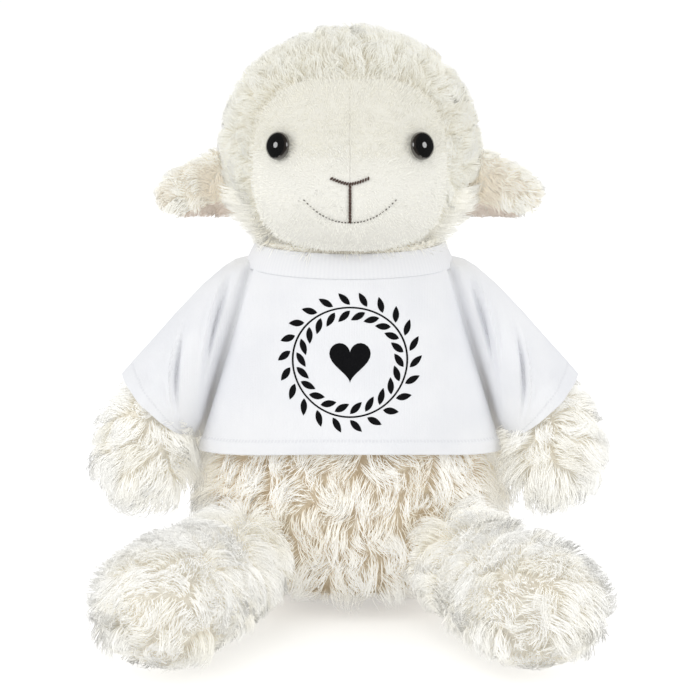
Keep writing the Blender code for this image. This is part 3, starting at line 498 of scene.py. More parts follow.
def spread(piece, count, keep, rng):
    """Random points on a piece's surface where keep says so, with their normals. Few lie on its underside."""
    mesh = piece.data
    mesh.calc_loop_triangles()
    corners = np.empty(len(mesh.loop_triangles) * 3, np.int32)
    mesh.loop_triangles.foreach_get("vertices", corners)
    corners = corners.reshape(-1, 3)
    at, out = points_of(piece), normals_of(piece)
    a, b, c = at[corners].transpose(1, 0, 2)
    corners = corners[keep((a + b + c) / 3)]
    a, b, c = at[corners].transpose(1, 0, 2)
    cross = np.cross(b - a, c - a)
    area = np.linalg.norm(cross, axis=1) / 2
    share = area * (UNDERSIDE_SHARE + (1 - UNDERSIDE_SHARE) * ramp(unit(cross)[:, 2], -0.95, -0.35))
    chosen = corners[rng.choice(len(corners), count, p=share / share.sum())]
    share = rng.random((count, 2))
    share = np.where(share.sum(1, keepdims=True) > 1, 1 - share, share)
    weight = np.concatenate([1 - share.sum(1, keepdims=True), share], 1)[:, :, None]
    return (at[chosen] * weight).sum(1), unit((out[chosen] * weight).sum(1)), area.sum()


def across(vectors, normals):
    """The part of each vector that lies along the surface."""
    return unit(vectors - normals * (vectors * normals).sum(1, keepdims=True))


# %% [markdown]
# All strands of a pile are written into one mesh at once, as rows of numbers, because a hundred thousand of them
# added one by one would take minutes. Each strand keeps its own strip of the map for its tone. Its normals lean
# towards the skin's, so that light falls over the pile softly and not spike by spike.

# %% Strands
STRAND_FLATNESS, NORMAL_SOFTNESS, NORMAL_ROUNDNESS = 0.7, 0.6, 0.9


def strand_mesh(name, path, radius, tone, steps, out):
    """Closed three-sided spikes along paths of shape (strands, steps, 3), the last step being the tip."""
    count, rings = path.shape[0], path.shape[1] - 1
    along = unit(np.gradient(path, axis=1))
    chord = unit(path[:, :1] - path[:, -1:] + 1e-4)[:, [0] * (rings + 1)]
    side = unit(np.cross(along, chord[:, :, [1, 2, 0]]))
    up = np.cross(along, side)
    turn = np.arange(3) * 2 * math.pi / 3
    ring = side[:, :rings, None] * np.cos(turn)[:, None]
    ring = ring + up[:, :rings, None] * np.sin(turn)[:, None] * STRAND_FLATNESS
    ring = path[:, :rings, None] + ring * radius[:, :rings, None, None]
    per = rings * 3 + 1
    points = np.concatenate([ring.reshape(count, -1, 3), path[:, -1:]], 1).reshape(-1, 3)
    faces, spots = [], []
    for level in range(rings - 1):
        for k in range(3):
            j = (k + 1) % 3
            faces.append([level * 3 + k, level * 3 + j, level * 3 + 3 + j, level * 3 + 3 + k])
            low, high = steps[level], steps[level + 1]
            spots.append([(k / 3, low), ((k + 1) / 3, low), ((k + 1) / 3, high), (k / 3, high)])
    for k in range(3):
        faces.append([(rings - 1) * 3 + k, (rings - 1) * 3 + (k + 1) % 3, per - 1])
        spots.append([(k / 3, steps[-2]), ((k + 1) / 3, steps[-2]), ((k + 0.5) / 3, steps[-1])])
    faces.append([2, 1, 0])
    spots.append([(0.9, 0.0), (0.5, 0.03), (0.1, 0.0)])
    sizes = np.tile([len(f) for f in faces], count)
    corner = np.concatenate([np.array(f) for f in faces])
    index = (corner[None] + np.arange(count)[:, None] * per).ravel()
    spot = np.tile(np.concatenate([np.array(s) for s in spots]), (count, 1, 1))
    spot[:, :, 0] = (np.floor(tone * TONES)[:, None] + 0.08 + 0.84 * spot[:, :, 0]) / TONES
    spot[:, :, 1] = 0.01 + 0.98 * spot[:, :, 1]
    mesh = bpy.data.meshes.new(name)
    mesh.vertices.add(len(points))
    mesh.vertices.foreach_set("co", points.ravel())
    mesh.loops.add(len(index))
    mesh.loops.foreach_set("vertex_index", index.astype(np.int32))
    mesh.polygons.add(len(sizes))
    mesh.polygons.foreach_set("loop_start", (np.cumsum(sizes) - sizes).astype(np.int32))
    mesh.update(calc_edges=True)
    for map_name in ("Strand", "OFBake"):
        layer = mesh.uv_layers.new(name=map_name)
        layer.uv.foreach_set("vector", spot.reshape(-1).astype(np.float32))
    mesh.polygons.foreach_set("use_smooth", np.ones(len(sizes), bool))
    soft = out[:, None] - NORMAL_SOFTNESS * along * (along * out[:, None]).sum(2, keepdims=True)
    round_it = unit(ring.reshape(count, -1, 3) - np.repeat(path[:, :rings], 3, 1))
    body = unit(np.repeat(soft[:, :rings], 3, 1) + NORMAL_ROUNDNESS * round_it)
    mesh.normals_split_custom_set_from_vertices(np.concatenate([body, unit(soft[:, -1:])], 1).reshape(-1, 3))
    return linked(name, mesh)


# %% [markdown]
# A few numbers say how each pile looks: length and thickness, how far strands rise and then lay over, how wide a
# tuft is, how much its strands gather, twist and curl, how wildly tufts differ, and how far long pile droops.
# Three strands in ten are undercoat, shorter and darker. That fills the pile, so that little backing shows.

# %% Planting pile
UNDERCOAT, ROOT_DEPTH = 0.3, 0.0004


def plant(name, skin, count, keep, finish, flow, seed, body, slot="curly_plush", length=0.0125, thick=0.00024,
          rise=0.62, lay=0.75, tuft=0.0100, gather=0.60, twist=1.2, wild=0.8, curl=0.07, shade=None, trim=None,
          droop=0.0, steps=(0, 0.36, 0.70, 1.0)):
    """Strands of pile on a skin. Tufts lean along flow and at random (wild), trim(points) shortens strands and
    shade(points) scales their tones, to paint light and shade on them."""
    rng = np.random.default_rng(seed)
    root, out, area = spread(skin, count, keep, rng)
    tufts = max(int(area / tuft**2), 4)
    middle, middle_out, _ = spread(skin, tufts, keep, rng)
    tree = KDTree(tufts)
    for place, point in enumerate(middle):
        tree.insert(point, place)
    tree.balance()
    mine = np.array([tree.find(point)[1] for point in root])
    lean = unit(across(flow(middle), middle_out) + wild * across(rng.normal(size=(tufts, 3)), middle_out))
    spin = rng.choice([-1, 1], tufts) * twist * rng.uniform(0.3, 1.2, tufts)
    bulk = rng.uniform(0.8, 1.15, tufts)
    tuft_tone = rng.beta(2.6, 1.2, tufts)
    centre, axis, lean, spin = middle[mine], middle_out[mine], lean[mine], spin[mine]
    lean = across(lean + 0.18 * rng.normal(size=lean.shape), out)
    under = rng.random(count) < UNDERCOAT
    long = length * bulk[mine] * np.where(under, rng.uniform(0.4, 0.7, count), rng.uniform(0.85, 1.15, count))
    if trim is not None:
        long = long * trim(root)
    offset = root - centre
    far = np.linalg.norm(offset, axis=1)
    pull = gather * np.clip(1.4 - far / tuft, 0.15, 1) * np.where(under, 0.4, 1)
    sway = rng.uniform(0, 2 * math.pi, tufts)[mine] + rng.normal(size=count) * 0.5
    path = np.empty((count, len(steps), 3))
    sideways = np.cross(out, lean)
    for place, t in enumerate(steps):
        angle = spin * t
        turned = offset * np.cos(angle)[:, None] + np.cross(axis, offset) * np.sin(angle)[:, None]
        turned += axis * ((axis * offset).sum(1) * (1 - np.cos(angle)))[:, None]
        drawn = offset + (turned - offset) * t - turned * (pull * t**1.3)[:, None]
        wave = curl * long * np.sin(sway + 5.0 * t) * t
        path[:, place] = (
            centre + drawn
            + out * (long * rise * math.sin(min(t * 1.75, math.pi / 2 + 0.25)))[:, None]
            + lean * (long * lay * t**1.5)[:, None]
            + sideways * wave[:, None]
            + np.array([0, 0, -1]) * (long * droop * t * t)[:, None]
        )
    path[:, 0] -= out * ROOT_DEPTH
    taper = 1 - np.array(steps) ** 2.2
    width = thick * rng.uniform(0.75, 1.25, count)[:, None] * taper[None]
    tone = 0.8 * tuft_tone[mine] + 0.2 * rng.random(count) - 0.2 * under
    if shade is not None:
        tone = tone * shade(root)
    fur = strand_mesh(name, path, width, np.clip(tone, 0, 0.999), np.array(steps), out)
    wear(fur, finish)
    print(name, "strands:", count, "tufts:", tufts, "faces:", len(fur.data.polygons))
    return own(fur, body, slot)


# %% [markdown]
# Under the pile is the padded skin: backing cloth drawn tight by the stuffing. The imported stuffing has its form,
# so a copy of it is fused into one closed mesh and smoothed. Blender's cloth simulation then blows it up as the
# stuffing would. The pressure is high and a point weighs little, because a skin as small and as curved as this one
# stretches far less than a cushion. No point moves further than a cap, so that the skin keeps to its solid.

# %% Padded skins
PRESSURE, POINT_WEIGHT, SWELL_CAP, MOMENTS = 60.0, 0.006, 0.0022, 20


def skin_from(name, sources, swell, voxel, passes=6):
    """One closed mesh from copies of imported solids, grown by swell."""
    copies = []
    for source in sources:
        copy = nodes[source].copy()
        copy.data = nodes[source].data.copy()
        copy.parent = None
        for key in list(copy.keys()):
            del copy[key]
        copy.hide_render = copy.hide_viewport = False
        bpy.context.collection.objects.link(copy)
        copies.append(copy)
    pick(*copies)
    if len(copies) > 1:
        bpy.ops.object.join()
    skin = name_it(name)
    edit(skin, weld)
    modify(skin, "REMESH", mode="VOXEL", voxel_size=voxel)
    modify(skin, "SMOOTH", factor=0.5, iterations=passes)
    set_points(skin, points_of(skin) + normals_of(skin) * swell)
    wear(skin, backing)
    smooth(skin)
    print(name, "points:", len(skin.data.vertices))
    return skin


def stuff(skin):
    before = points_of(skin)
    pick(skin)
    cloth = skin.modifiers.new("stuffing", "CLOTH")
    cloth.settings.use_pressure = True
    cloth.settings.uniform_pressure_force = PRESSURE
    cloth.settings.mass = POINT_WEIGHT
    cloth.settings.effector_weights.gravity = 0
    cloth.point_cache.frame_start, cloth.point_cache.frame_end = 1, MOMENTS
    for moment in range(1, MOMENTS + 1):
        bpy.context.scene.frame_set(moment)
    bpy.ops.object.modifier_apply(modifier=cloth.name)
    bpy.context.scene.frame_set(1)
    move = points_of(skin) - before
    far = np.linalg.norm(move, axis=1)
    set_points(skin, before + move * np.minimum(1, SWELL_CAP / np.maximum(far, 1e-9))[:, None])
    modify(skin, "SUBSURF", levels=1, render_levels=1)
    swelled = round(float(np.minimum(far, SWELL_CAP).mean()) * 1000, 2)
    print(skin.name, "swelled by (mm):", swelled, "points:", len(skin.data.vertices))
    return smooth(skin)


def limb_skin(limb):
    skin = stuff(skin_from(f"{limb}_skin", (f"{limb}_fill",), -0.0006, voxel=0.004))
    own(skin, limb, "curly_plush", f"{limb}_cover", f"{limb}_fill")
    return skin


torso_skin = stuff(skin_from("torso_skin", ("torso_fill", "seat_pellet_bag"), -0.0004, voxel=0.0045))
wear(torso_skin, body_backing)
own(torso_skin, "torso", "curly_plush", "torso_cover", "torso_fill", "seat_pellet_bag")

# %% [markdown]
# The belly, seat and back show below the shirt. Their pile hangs down and lies in swirls, and it is pressed
# short where the hem touches it and where the toy sits. Painted shade darkens the creases at the hips and by the paws.
# Under the sleeves a strip of short pile closes the side, for when an arm is raised.

# %% Pile on the body
HIP_CREASE, PAW_CREASE, SEAT_BAND = (0.031, 0.051), (0.066, 0.066), 0.012


def hem_height(points):
    front = np.clip(-(points[:, 1]) / TORSO_HALF[1], 0, 1)
    return HEM_HEIGHT + HEM_RISE * front**2


def hip_reach(points):
    """How far a point lies from the nearer hip crease, seen from the front."""
    x, z = HIP_CREASE
    return np.hypot(np.abs(points[:, 0]) - x, points[:, 2] - z) + np.maximum(points[:, 1] + 0.03, 0)


def body_trim(points):
    """Short under the hem, on the seat and in the hip creases, and long at the flanks."""
    x, z = np.abs(points[:, 0]), points[:, 2]
    under = 1 - 0.4 * (1 - ramp(hem_height(points) - z, -0.006, 0.010)) * (1 - ramp(x, 0.052, 0.062))
    seat = 0.35 + 0.65 * ramp(z, 0.006, 0.022)
    flank = 1 + 0.75 * ramp(x, 0.052, 0.066) * ramp(z, 0.020, 0.040)
    return under * seat * flank * (0.35 + 0.65 * ramp(hip_reach(points), 0.004, 0.013))


def body_flow(points):
    return np.stack([points[:, 0] * 2, points[:, 1] * 1.0, np.full(len(points), -0.12)], 1)


def crease_shade(points):
    """Painted shade: tones are darker in the hip creases and beside the paws."""
    x, z = PAW_CREASE
    paw = np.hypot(np.abs(points[:, 0]) - x, (points[:, 2] - z) * 0.7)
    return ramp(hip_reach(points), 0.003, 0.014) * (0.1 + 0.9 * ramp(paw, 0.004, 0.012))


def under_arm(points):
    x, y, z = np.abs(points[:, 0]), points[:, 1], points[:, 2]
    return (x > 0.044) & (np.abs(y + 0.010) < 0.014) & (z > 0.079) & (z < 0.125)


for word, low, high, side, count, thick, shade in (
    ("belly", SEAT_BAND, 0.2, -1, 8800, 0.00024, crease_shade),
    ("back", SEAT_BAND, 0.2, 1, 4500, 0.00031, None),
    ("seat", -1, SEAT_BAND, 0, 700, 0.00024, None),
):
    def keep(points, low=low, high=high, side=side):
        z = points[:, 2]
        return (z > low) & (z <= high) & (z < hem_height(points) + 0.006) & (points[:, 1] * side > -0.006)

    plant(f"{word}_pile", torso_skin, count, keep, curly_pile, body_flow, 11 + side, "torso",
          thick=thick, shade=shade, trim=body_trim)
plant("flank_pile", torso_skin, 700, under_arm, limb_pile, body_flow, 15, "torso", length=0.0050, tuft=0.006, wild=0.4)

# %% [markdown]
# A leg is a stuffed tube with a round end. Its pile runs out towards the foot and swirls there. The upper half is
# smoother, with painted light on its tones. The lower half lies in looser swirls, with painted shade, and it is
# pressed short where the toy sits on it. Painted shade also darkens it where it meets the belly.

# %% Legs
LEG_CREASE, LEG_MIDDLE = np.array([0.036, -0.070, 0.052]), 0.034


def leg_flow(side):
    def flow(points):
        away = points - FOOT * (side, 1, 1)
        along = unit((FOOT - HIP) * (side, 1, 0.4))
        return along + away * 14 + np.array([0, 0, -0.25])
    return flow


def leg_crease_shade(points):
    """Painted shade: darker where a leg meets the belly."""
    hip = np.linalg.norm(points * (0, 1, 1) + np.abs(points) * (1, 0, 0) - LEG_CREASE, axis=1)
    return 0.1 + 0.9 * ramp(hip, 0.008, 0.022)


def leg_trim(points):
    """Long at the outer thigh and on the foot's outside, and short below."""
    x, y, z = np.abs(points[:, 0]), points[:, 1], points[:, 2]
    thigh = 1 + 0.6 * ramp(y, -0.105, -0.075) * ramp(x, 0.040, 0.052)
    foot = 1 + 0.35 * ramp(x, 0.090, 0.106)
    return (0.3 + 0.7 * ramp(z, 0.006, LEG_MIDDLE)) * thigh * foot


for word, side in SIDES:
    leg_skin = limb_skin(f"leg_{word}")
    for half, seed, count, loose, light in (("upper", 21, 7100, 0.62, 1.3), ("lower", 23, 6100, 1.0, 0.78)):
        def keep(points, half=half):
            return points[:, 2] >= LEG_MIDDLE if half == "upper" else points[:, 2] < LEG_MIDDLE

        # Tones get painted light on the upper half and painted shade on the lower half, besides the shade at the hip.
        def shade(points, light=light):
            return light * leg_crease_shade(points)

        plant(f"leg_{word}_{half}_pile", leg_skin, count, keep, limb_pile, leg_flow(side), seed + side, f"leg_{word}",
              length=0.0098 + 0.0016 * loose, tuft=0.0118 - 0.0032 * loose, gather=0.65 * loose,
              twist=1.0 * loose, wild=0.9 * loose, trim=leg_trim, shade=shade)

# %% [markdown]
# An arm is a like tube, and only its paw shows below the sleeve. So pile is planted from the cuff on, short inside
# the sleeve and long on the paw, with painted shade where it meets the body.

# %% Arms
def arm_flow(side):
    def flow(points):
        away = points - PAW * (side, 1, 1)
        return np.array([0.45 * side, -0.2, -0.9]) + away * 16
    return flow


def past_cuff(points):
    """How far points lie outside the plane of the cuff."""
    up = unit((CUFF_TOP - CUFF_BASE)[None])[0]
    out, cuff = np.array([up[2], 0, -up[0]]), (CUFF_TOP + CUFF_BASE) / 2
    return (np.abs(points) * (1, 0, 0) + points * (0, 1, 1) - cuff) @ out


def arm_trim(points):
    """Short inside the sleeve, and long under the paw and towards the body."""
    x, z = np.abs(points[:, 0]), points[:, 2]
    sleeve = 0.4 + 0.6 * ramp(past_cuff(points), -0.010, 0.008)
    return sleeve * (1.45 - 0.45 * ramp(z, 0.052, 0.068)) * (1.6 - 0.6 * ramp(x, 0.074, 0.088))


def arm_shade(points):
    # Painted shade: darker tones on the inner side, where the paw meets the body.
    return 0.1 + 1.1 * ramp(np.abs(points[:, 0]), 0.074, 0.086)


def off_shoulder(points):
    return past_cuff(points) > -0.013


for word, side in SIDES:
    plant(f"arm_{word}_pile", limb_skin(f"arm_{word}"), 6900, off_shoulder, limb_pile, arm_flow(side), 31 + side,
          f"arm_{word}", length=0.0112, shade=arm_shade, trim=arm_trim)

# %% [markdown]
# The head is rounder than any primitive: a fine ball is added, and each of its points is pushed out to the blended
# form of skull and muzzle. It is shrunk by the height of the pile, and cut where the neck seam closes it.

# %% Head skin
HEAD_PILE_DEPTH = 0.0036
head_skin = added(bpy.ops.mesh.primitive_ico_sphere_add, "head_skin", subdivisions=5, radius=0.01, location=SKULL)
settle(head_skin)


def cut_below(height):
    """An edit-mode step that cuts away all below a height and closes the cut."""
    def step():
        bpy.ops.mesh.bisect(plane_co=(0, 0, height), plane_no=(0, 0, 1), use_fill=True, clear_inner=True)
    return step


rays = unit(points_of(head_skin) - SKULL)
start = np.tile(SKULL, (len(rays), 1))
set_points(head_skin, SKULL + rays * head_reach(start, rays, HEAD_PILE_DEPTH)[:, None])
edit(head_skin, cut_below(NECK_CUT), face_out)
wear(head_skin, backing)
smooth(head_skin)
own(head_skin, "head", "curly_plush", "head_cover", "head_fill")
print("head points:", len(head_skin.data.vertices))

# %% [markdown]
# The face is cut from a short smooth pile: two halves that meet in a seam down the middle, and a gusset under the
# chin. Each is a grid laid on the front of the head, so its outline runs exactly where the panel was drawn.
# The eyes pull it in, the stitches sink into it, and its edge tucks into the long pile.

# %% Form of the face
FACE_CENTRE, FACE_HALF_WIDTH, FACE_RISE, FACE_DROP, CHIN_SEAM = 0.212, 0.0465, 0.0385, 0.048, 0.1775
FACE_TOP, FACE_POWER = FACE_CENTRE + FACE_RISE, 2.5
FACE_BACK, MUZZLE_FRONT = -0.010, np.array([0, -0.055, 0.205])
EYE_X, EYE_HEIGHT, EYE_CLEARANCE = 0.0315, 0.2195, 0.0052
NOSE_HEIGHT, MOUTH_HEIGHT, MOUTH_HALF, MOUTH_RISE = 0.2073, 0.1875, 0.0203, 0.0100
CLOTH_SINK, EYE_DIMPLE, SEAM_GROOVE, STITCH_GROOVE = 0.0006, 0.0014, 0.0005, 0.0007


def face_level(z):
    """0 at the widest height of the face and 1 at its top and its lowest point."""
    return np.abs(z - FACE_CENTRE) / np.where(z > FACE_CENTRE, FACE_RISE, FACE_DROP)


def face_width(z):
    return FACE_HALF_WIDTH * (1 - np.clip(face_level(z), 0, 0.9999) ** FACE_POWER) ** (1 / FACE_POWER)


def mouth_line(x):
    return MOUTH_HEIGHT + MOUTH_RISE * np.abs(x / MOUTH_HALF) ** 2.2


def face_surface(x, z):
    """The face cloth at x, z, with its dimples and seams."""
    at = head_front(x, z)
    out = head_outward(at)
    eye = np.exp(-(((np.abs(x) - EYE_X) / 0.0085) ** 2 + ((z - EYE_HEIGHT) / 0.0095) ** 2))
    seam = np.exp(-((x / 0.0013) ** 2)) * (0.06 + 0.30 * ramp(z, 0.212, 0.240))
    lip = np.exp(-((x / 0.0016) ** 2)) * ramp(z, 0.1865, 0.190) * (1 - ramp(z, 0.202, 0.206))
    mouth = np.exp(-(((z - mouth_line(x)) / 0.0016) ** 2)) * (1 - ramp(np.abs(x), 0.0195, 0.0225))
    sink = CLOTH_SINK + EYE_DIMPLE * eye + SEAM_GROOVE * seam + STITCH_GROOVE * np.maximum(lip, mouth)
    return at - out * sink[:, None]


def face_share(points):
    """0 at the middle of the face and 1 at the edge of the panel."""
    upright = face_level(points[:, 2])
    return (np.abs(points[:, 0] / FACE_HALF_WIDTH) ** FACE_POWER + upright**FACE_POWER) ** (1 / FACE_POWER)


def clear_of_trim(points):
    """True off the eyes, nose and mouth."""
    x, z = np.abs(points[:, 0]), points[:, 2]
    eye = np.hypot(x - EYE_X - 0.0005, z - EYE_HEIGHT) < EYE_CLEARANCE
    lip = (x < 0.0009) & (z > MOUTH_HEIGHT - 0.0008) & (z < NOSE_HEIGHT)
    nose = (x < 0.0090) & (np.abs(z - NOSE_HEIGHT + 0.0012) < 0.0017)
    return ~(eye | lip | nose)


# %% [markdown]
# Short pile is mostly finish: the cloth is a little darker on the brow, and a fine nap shows in its colour and bump.
# Short strands stand on it. They break its outline and soften its edge, and leave the eyes and stitches free.

# %% Finish of the face
paint = Paint("smooth_pile")
where = paint.place()
nap = paint.noise(where, 900, 3, (1.0, 1.0, 0.35))
cloud = paint.noise(where, 55, 3)
brow = (paint.part(where, "Z") + cloud * 0.012).step(0.204, 0.236)
colour = paint.blend(brow, (0.83, 0.82, 0.765), (0.775, 0.76, 0.685))
colour = paint.blend(nap.step(0.35, 0.75) * 0.15, colour, (0.72, 0.70, 0.61))
# A faint glow of the cloth's own colour is painted light, as on the long pile.
smooth_pile = paint.finish(colour, 0.95, paint.bump(nap * 0.7 + cloud * 0.3, 0.0006, 0.5), Specular_IOR_Level=0.1,
                           Emission_Color=colour, Emission_Strength=0.05)
brow_pile, cheek_pile = (pile_finish(*colours) for colours in (
    ("brow_pile", (0.77, 0.75, 0.665), (0.79, 0.775, 0.695), (0.815, 0.80, 0.73), (0.77, 0.75, 0.665)),
    ("cheek_pile", (0.82, 0.81, 0.745), (0.84, 0.832, 0.775), (0.865, 0.857, 0.805), (0.82, 0.81, 0.75)),
))

# %% [markdown]
# Each panel is laid as a grid, planted with its nap while it is still one sheet, and only then given the thickness
# of the cloth. The two halves stop just short of each other, and their edge dips into the seam.

# %% Face panels
SEAM_GAP, EDGE_TUCK, FACE_CLOTH = 0.00004, 0.0028, 0.0012


def face_piece(name, low, high, left, right, rows):
    def place(u, v):
        z = low + (high - low) * (1 - np.cos(v * math.pi)) / 2
        edge = face_width(z)
        x = (left + (right - left) * u) * edge
        x = np.sign(x) * np.maximum(np.abs(x), SEAM_GAP)
        at = face_surface(x, z)
        rim = np.maximum(ramp(np.abs(x) / edge, 0.93, 1.0), ramp(face_level(z), 0.955, 1.0))
        return at - head_outward(at) * (rim * EDGE_TUCK)[:, None]

    panel = laid_grid(name, 60, rows, place)
    edit(panel, weld)
    face_towards(panel, (0, -1, 0))
    return smooth(panel)


def nap_trim(points):
    return 0.62 + 0.9 * ramp(face_share(points), 0.78, 1.0)


def short_pile(name, panel, count, finish, low, high, seed):
    """A nap of short strands on a face panel, a little longer towards its edge."""
    def keep(points):
        return clear_of_trim(points) & (points[:, 2] > low) & (points[:, 2] <= high)

    plant(name, panel, count, keep, finish, lambda p: p - MUZZLE_FRONT, seed, "head", "smooth_plush",
          length=0.0030, thick=0.00015, rise=0.45, lay=0.65, tuft=0.0060, gather=0.05, twist=0.2, wild=0.35,
          curl=0.04, trim=nap_trim, steps=(0, 0.55, 1.0))


for name, low, high, left, right, rows in (
    ("face_left", CHIN_SEAM + SEAM_GAP, FACE_TOP, 0, 1, 72),
    ("face_right", CHIN_SEAM + SEAM_GAP, FACE_TOP, 0, -1, 72),
    ("chin_gusset", NECK_CUT, CHIN_SEAM - SEAM_GAP, -1, 1, 16),
):
    panel = face_piece(f"{name}_panel", low, high, left, right, rows)
    if name == "chin_gusset":
        short_pile("chin_nap", panel, 900, cheek_pile, 0, 1, seed=95)
    else:
        short_pile(f"{name}_brow_nap", panel, 2500, brow_pile, 0.215, 1, seed=91)
        short_pile(f"{name}_cheek_nap", panel, 2900, cheek_pile, 0, 0.219, seed=93)
    modify(panel, "SOLIDIFY", thickness=FACE_CLOTH, offset=-1)
    wear(panel, smooth_pile)
    own(panel, "head", "smooth_plush", name)
    print(panel.name, "points:", len(panel.data.vertices))

# %% [markdown]
# The pile on the head is shorter than on the body. It springs out round the face panel and is brushed back over
# the crown, so its flow points away from the middle of the face.

# %% Pile on the head
CROWN_LOW, CHEEK_LOW, NAPE_FRONT, FACE_OVERLAP = 0.222, 0.190, 0.004, 0.0042


def head_flow(points):
    """Away from the face, and down round the cheeks."""
    low = 1 - ramp(points[:, 2], 0.186, 0.205)
    return points - MUZZLE_FRONT + low[:, None] * np.array([0, 0, -0.03])


def off_face(points, grow):
    """True outside the face panel, whose edge is moved in by grow."""
    z, x = points[:, 2], np.abs(points[:, 0])
    inside = (x < face_width(z) - grow) & (z < FACE_TOP - grow) & (points[:, 1] < FACE_BACK)
    return ~inside


def head_trim(points):
    """Shorter where the pile meets the face panel."""
    edge = np.maximum(np.abs(points[:, 0]) - face_width(points[:, 2]), points[:, 2] - FACE_CENTRE - FACE_RISE)
    return np.where(points[:, 1] < FACE_BACK, 0.72 + 0.28 * ramp(edge, -0.004, 0.006), 1)


for word, low, high, front, count, seed, length, thick in (
    ("crown", CROWN_LOW, 1, True, 9800, 9851, 0.0078, 0.00020),
    ("cheek", CHEEK_LOW, CROWN_LOW, True, 7200, 7251, 0.0078, 0.00020),
    ("nape", CHEEK_LOW, 1, False, 5100, 5151, 0.0088, 0.00027),
):
    def keep(points, low=low, high=high, front=front):
        half = (points[:, 1] < NAPE_FRONT) == front
        return half & (points[:, 2] > low) & (points[:, 2] <= high) & off_face(points, FACE_OVERLAP)

    plant(f"{word}_pile", head_skin, count, keep, head_pile, head_flow, seed, "head", length=length, thick=thick,
          rise=0.62, lay=0.60, tuft=0.0070, gather=0.40, twist=0.8, wild=0.8, trim=head_trim)

# %% [markdown]
# The long pile springs over the edge of the face, so a narrow ring of strands leans in over the panel there. Below,
# the pile of the jowls and the scruff hangs down to the collar, longer than the rest. In front it has a lighter pile,
# painted light that lifts the shade under the head.

# %% Edge of the face, jowls and scruff
RIM_INNER, RIM_OUTER = 0.0030, 0.0022


def at_rim(points):
    """True on a narrow ring along the edge of the face panel."""
    z, x = points[:, 2], np.abs(points[:, 0])
    outside = (x > face_width(z) - RIM_INNER) | (z > FACE_TOP - RIM_INNER)
    near = (x < face_width(np.clip(z, 0, FACE_TOP - RIM_INNER)) + RIM_OUTER) & (z < FACE_TOP + RIM_OUTER)
    return outside & near & (points[:, 1] < FACE_BACK) & (z > 0.183)


def rim_flow(points):
    """Over the edge of the face, towards its middle."""
    return (np.array([0, -0.055, 0.212]) - points) * (1, 0.3, 1) / 0.05


JOWL_TOP, JOWL_LOW, JOWL_BACK = 0.197, 0.1722, 0.010


def low_on_head(points):
    return (points[:, 2] <= JOWL_TOP) & (points[:, 2] > JOWL_LOW) & off_face(points, 0.003)


def jowl_flow(points):
    return points * (1, 1, 0) / 0.04 + np.array([0, 0, -0.25])


def jowl_trim(points):
    """Shorter under the chin."""
    return 0.5 + 0.5 * ramp(np.maximum(np.abs(points[:, 0]) * 1.4, points[:, 1] + 0.02), 0.012, 0.036)


plant("face_edge_pile", head_skin, 1400, at_rim, head_pile, rim_flow, 81, "head", length=0.0066, thick=0.00018,
      rise=0.95, lay=0.25, tuft=0.0060, gather=0.15, twist=0.5, wild=0.7)
for word, front, count, finish in (("jowl", True, 3900, jowl_pile), ("scruff", False, 1900, head_pile)):
    def keep(points, front=front):
        return ((points[:, 1] < JOWL_BACK) == front) & low_on_head(points)

    plant(f"{word}_pile", head_skin, count, keep, finish, jowl_flow, 58, "head", length=0.0138, thick=0.00022,
          rise=0.50, lay=0.85, droop=0.32, tuft=0.0080, gather=0.45, twist=0.5, wild=0.35, trim=jowl_trim)

# %% [markdown]
# Where the head is sewn on, a small roll of pile closes the joint. It stays with the body, so the seam keeps shut
# when the head turns. A torus is added, flattened to the neck's oval and planted on its outside.

# %% Neck seam
ROLL_SIZE, ROLL_PLACE = (0.0408, 0.0370, 0.040), (0, 0.002, 0.1704)
neck_roll = added(bpy.ops.mesh.primitive_torus_add, "neck_seam_roll", major_segments=96, minor_segments=10,
                  major_radius=1, minor_radius=0.033, location=(0, 0, 0))
set_points(neck_roll, points_of(neck_roll) * ROLL_SIZE + ROLL_PLACE)
wear(neck_roll, backing)
own(smooth(neck_roll), "torso", "curly_plush")
# The neck pile wears the lighter jowl pile: painted light in the shade under the chin.
plant("neck_pile", neck_roll, 2600, lambda p: np.hypot(p[:, 0], p[:, 1]) > 0.034, jowl_pile, lambda p: p * (1, 1, 0),
      59, "torso", length=0.0062, thick=0.00018, rise=0.35, lay=0.85, droop=0.30, tuft=0.0050, gather=0.2, twist=0.4,
      wild=0.25)

# %% [markdown]
# Ears are floppy tongues with hardly any stuffing, so they are smoothed and not blown up. The outside has the head's
# pile, and the fold below shows a short beige lining. Each ear is sewn to the head at its root. The tail is a small
# plump tuft.

# %% Ears and tail
EAR_FALL = math.radians(62)


def thin_skin(name, sources, swell, body, slot):
    skin = skin_from(name, sources, swell, voxel=0.0016, passes=4)
    own(skin, body, slot, *sources)
    return skin


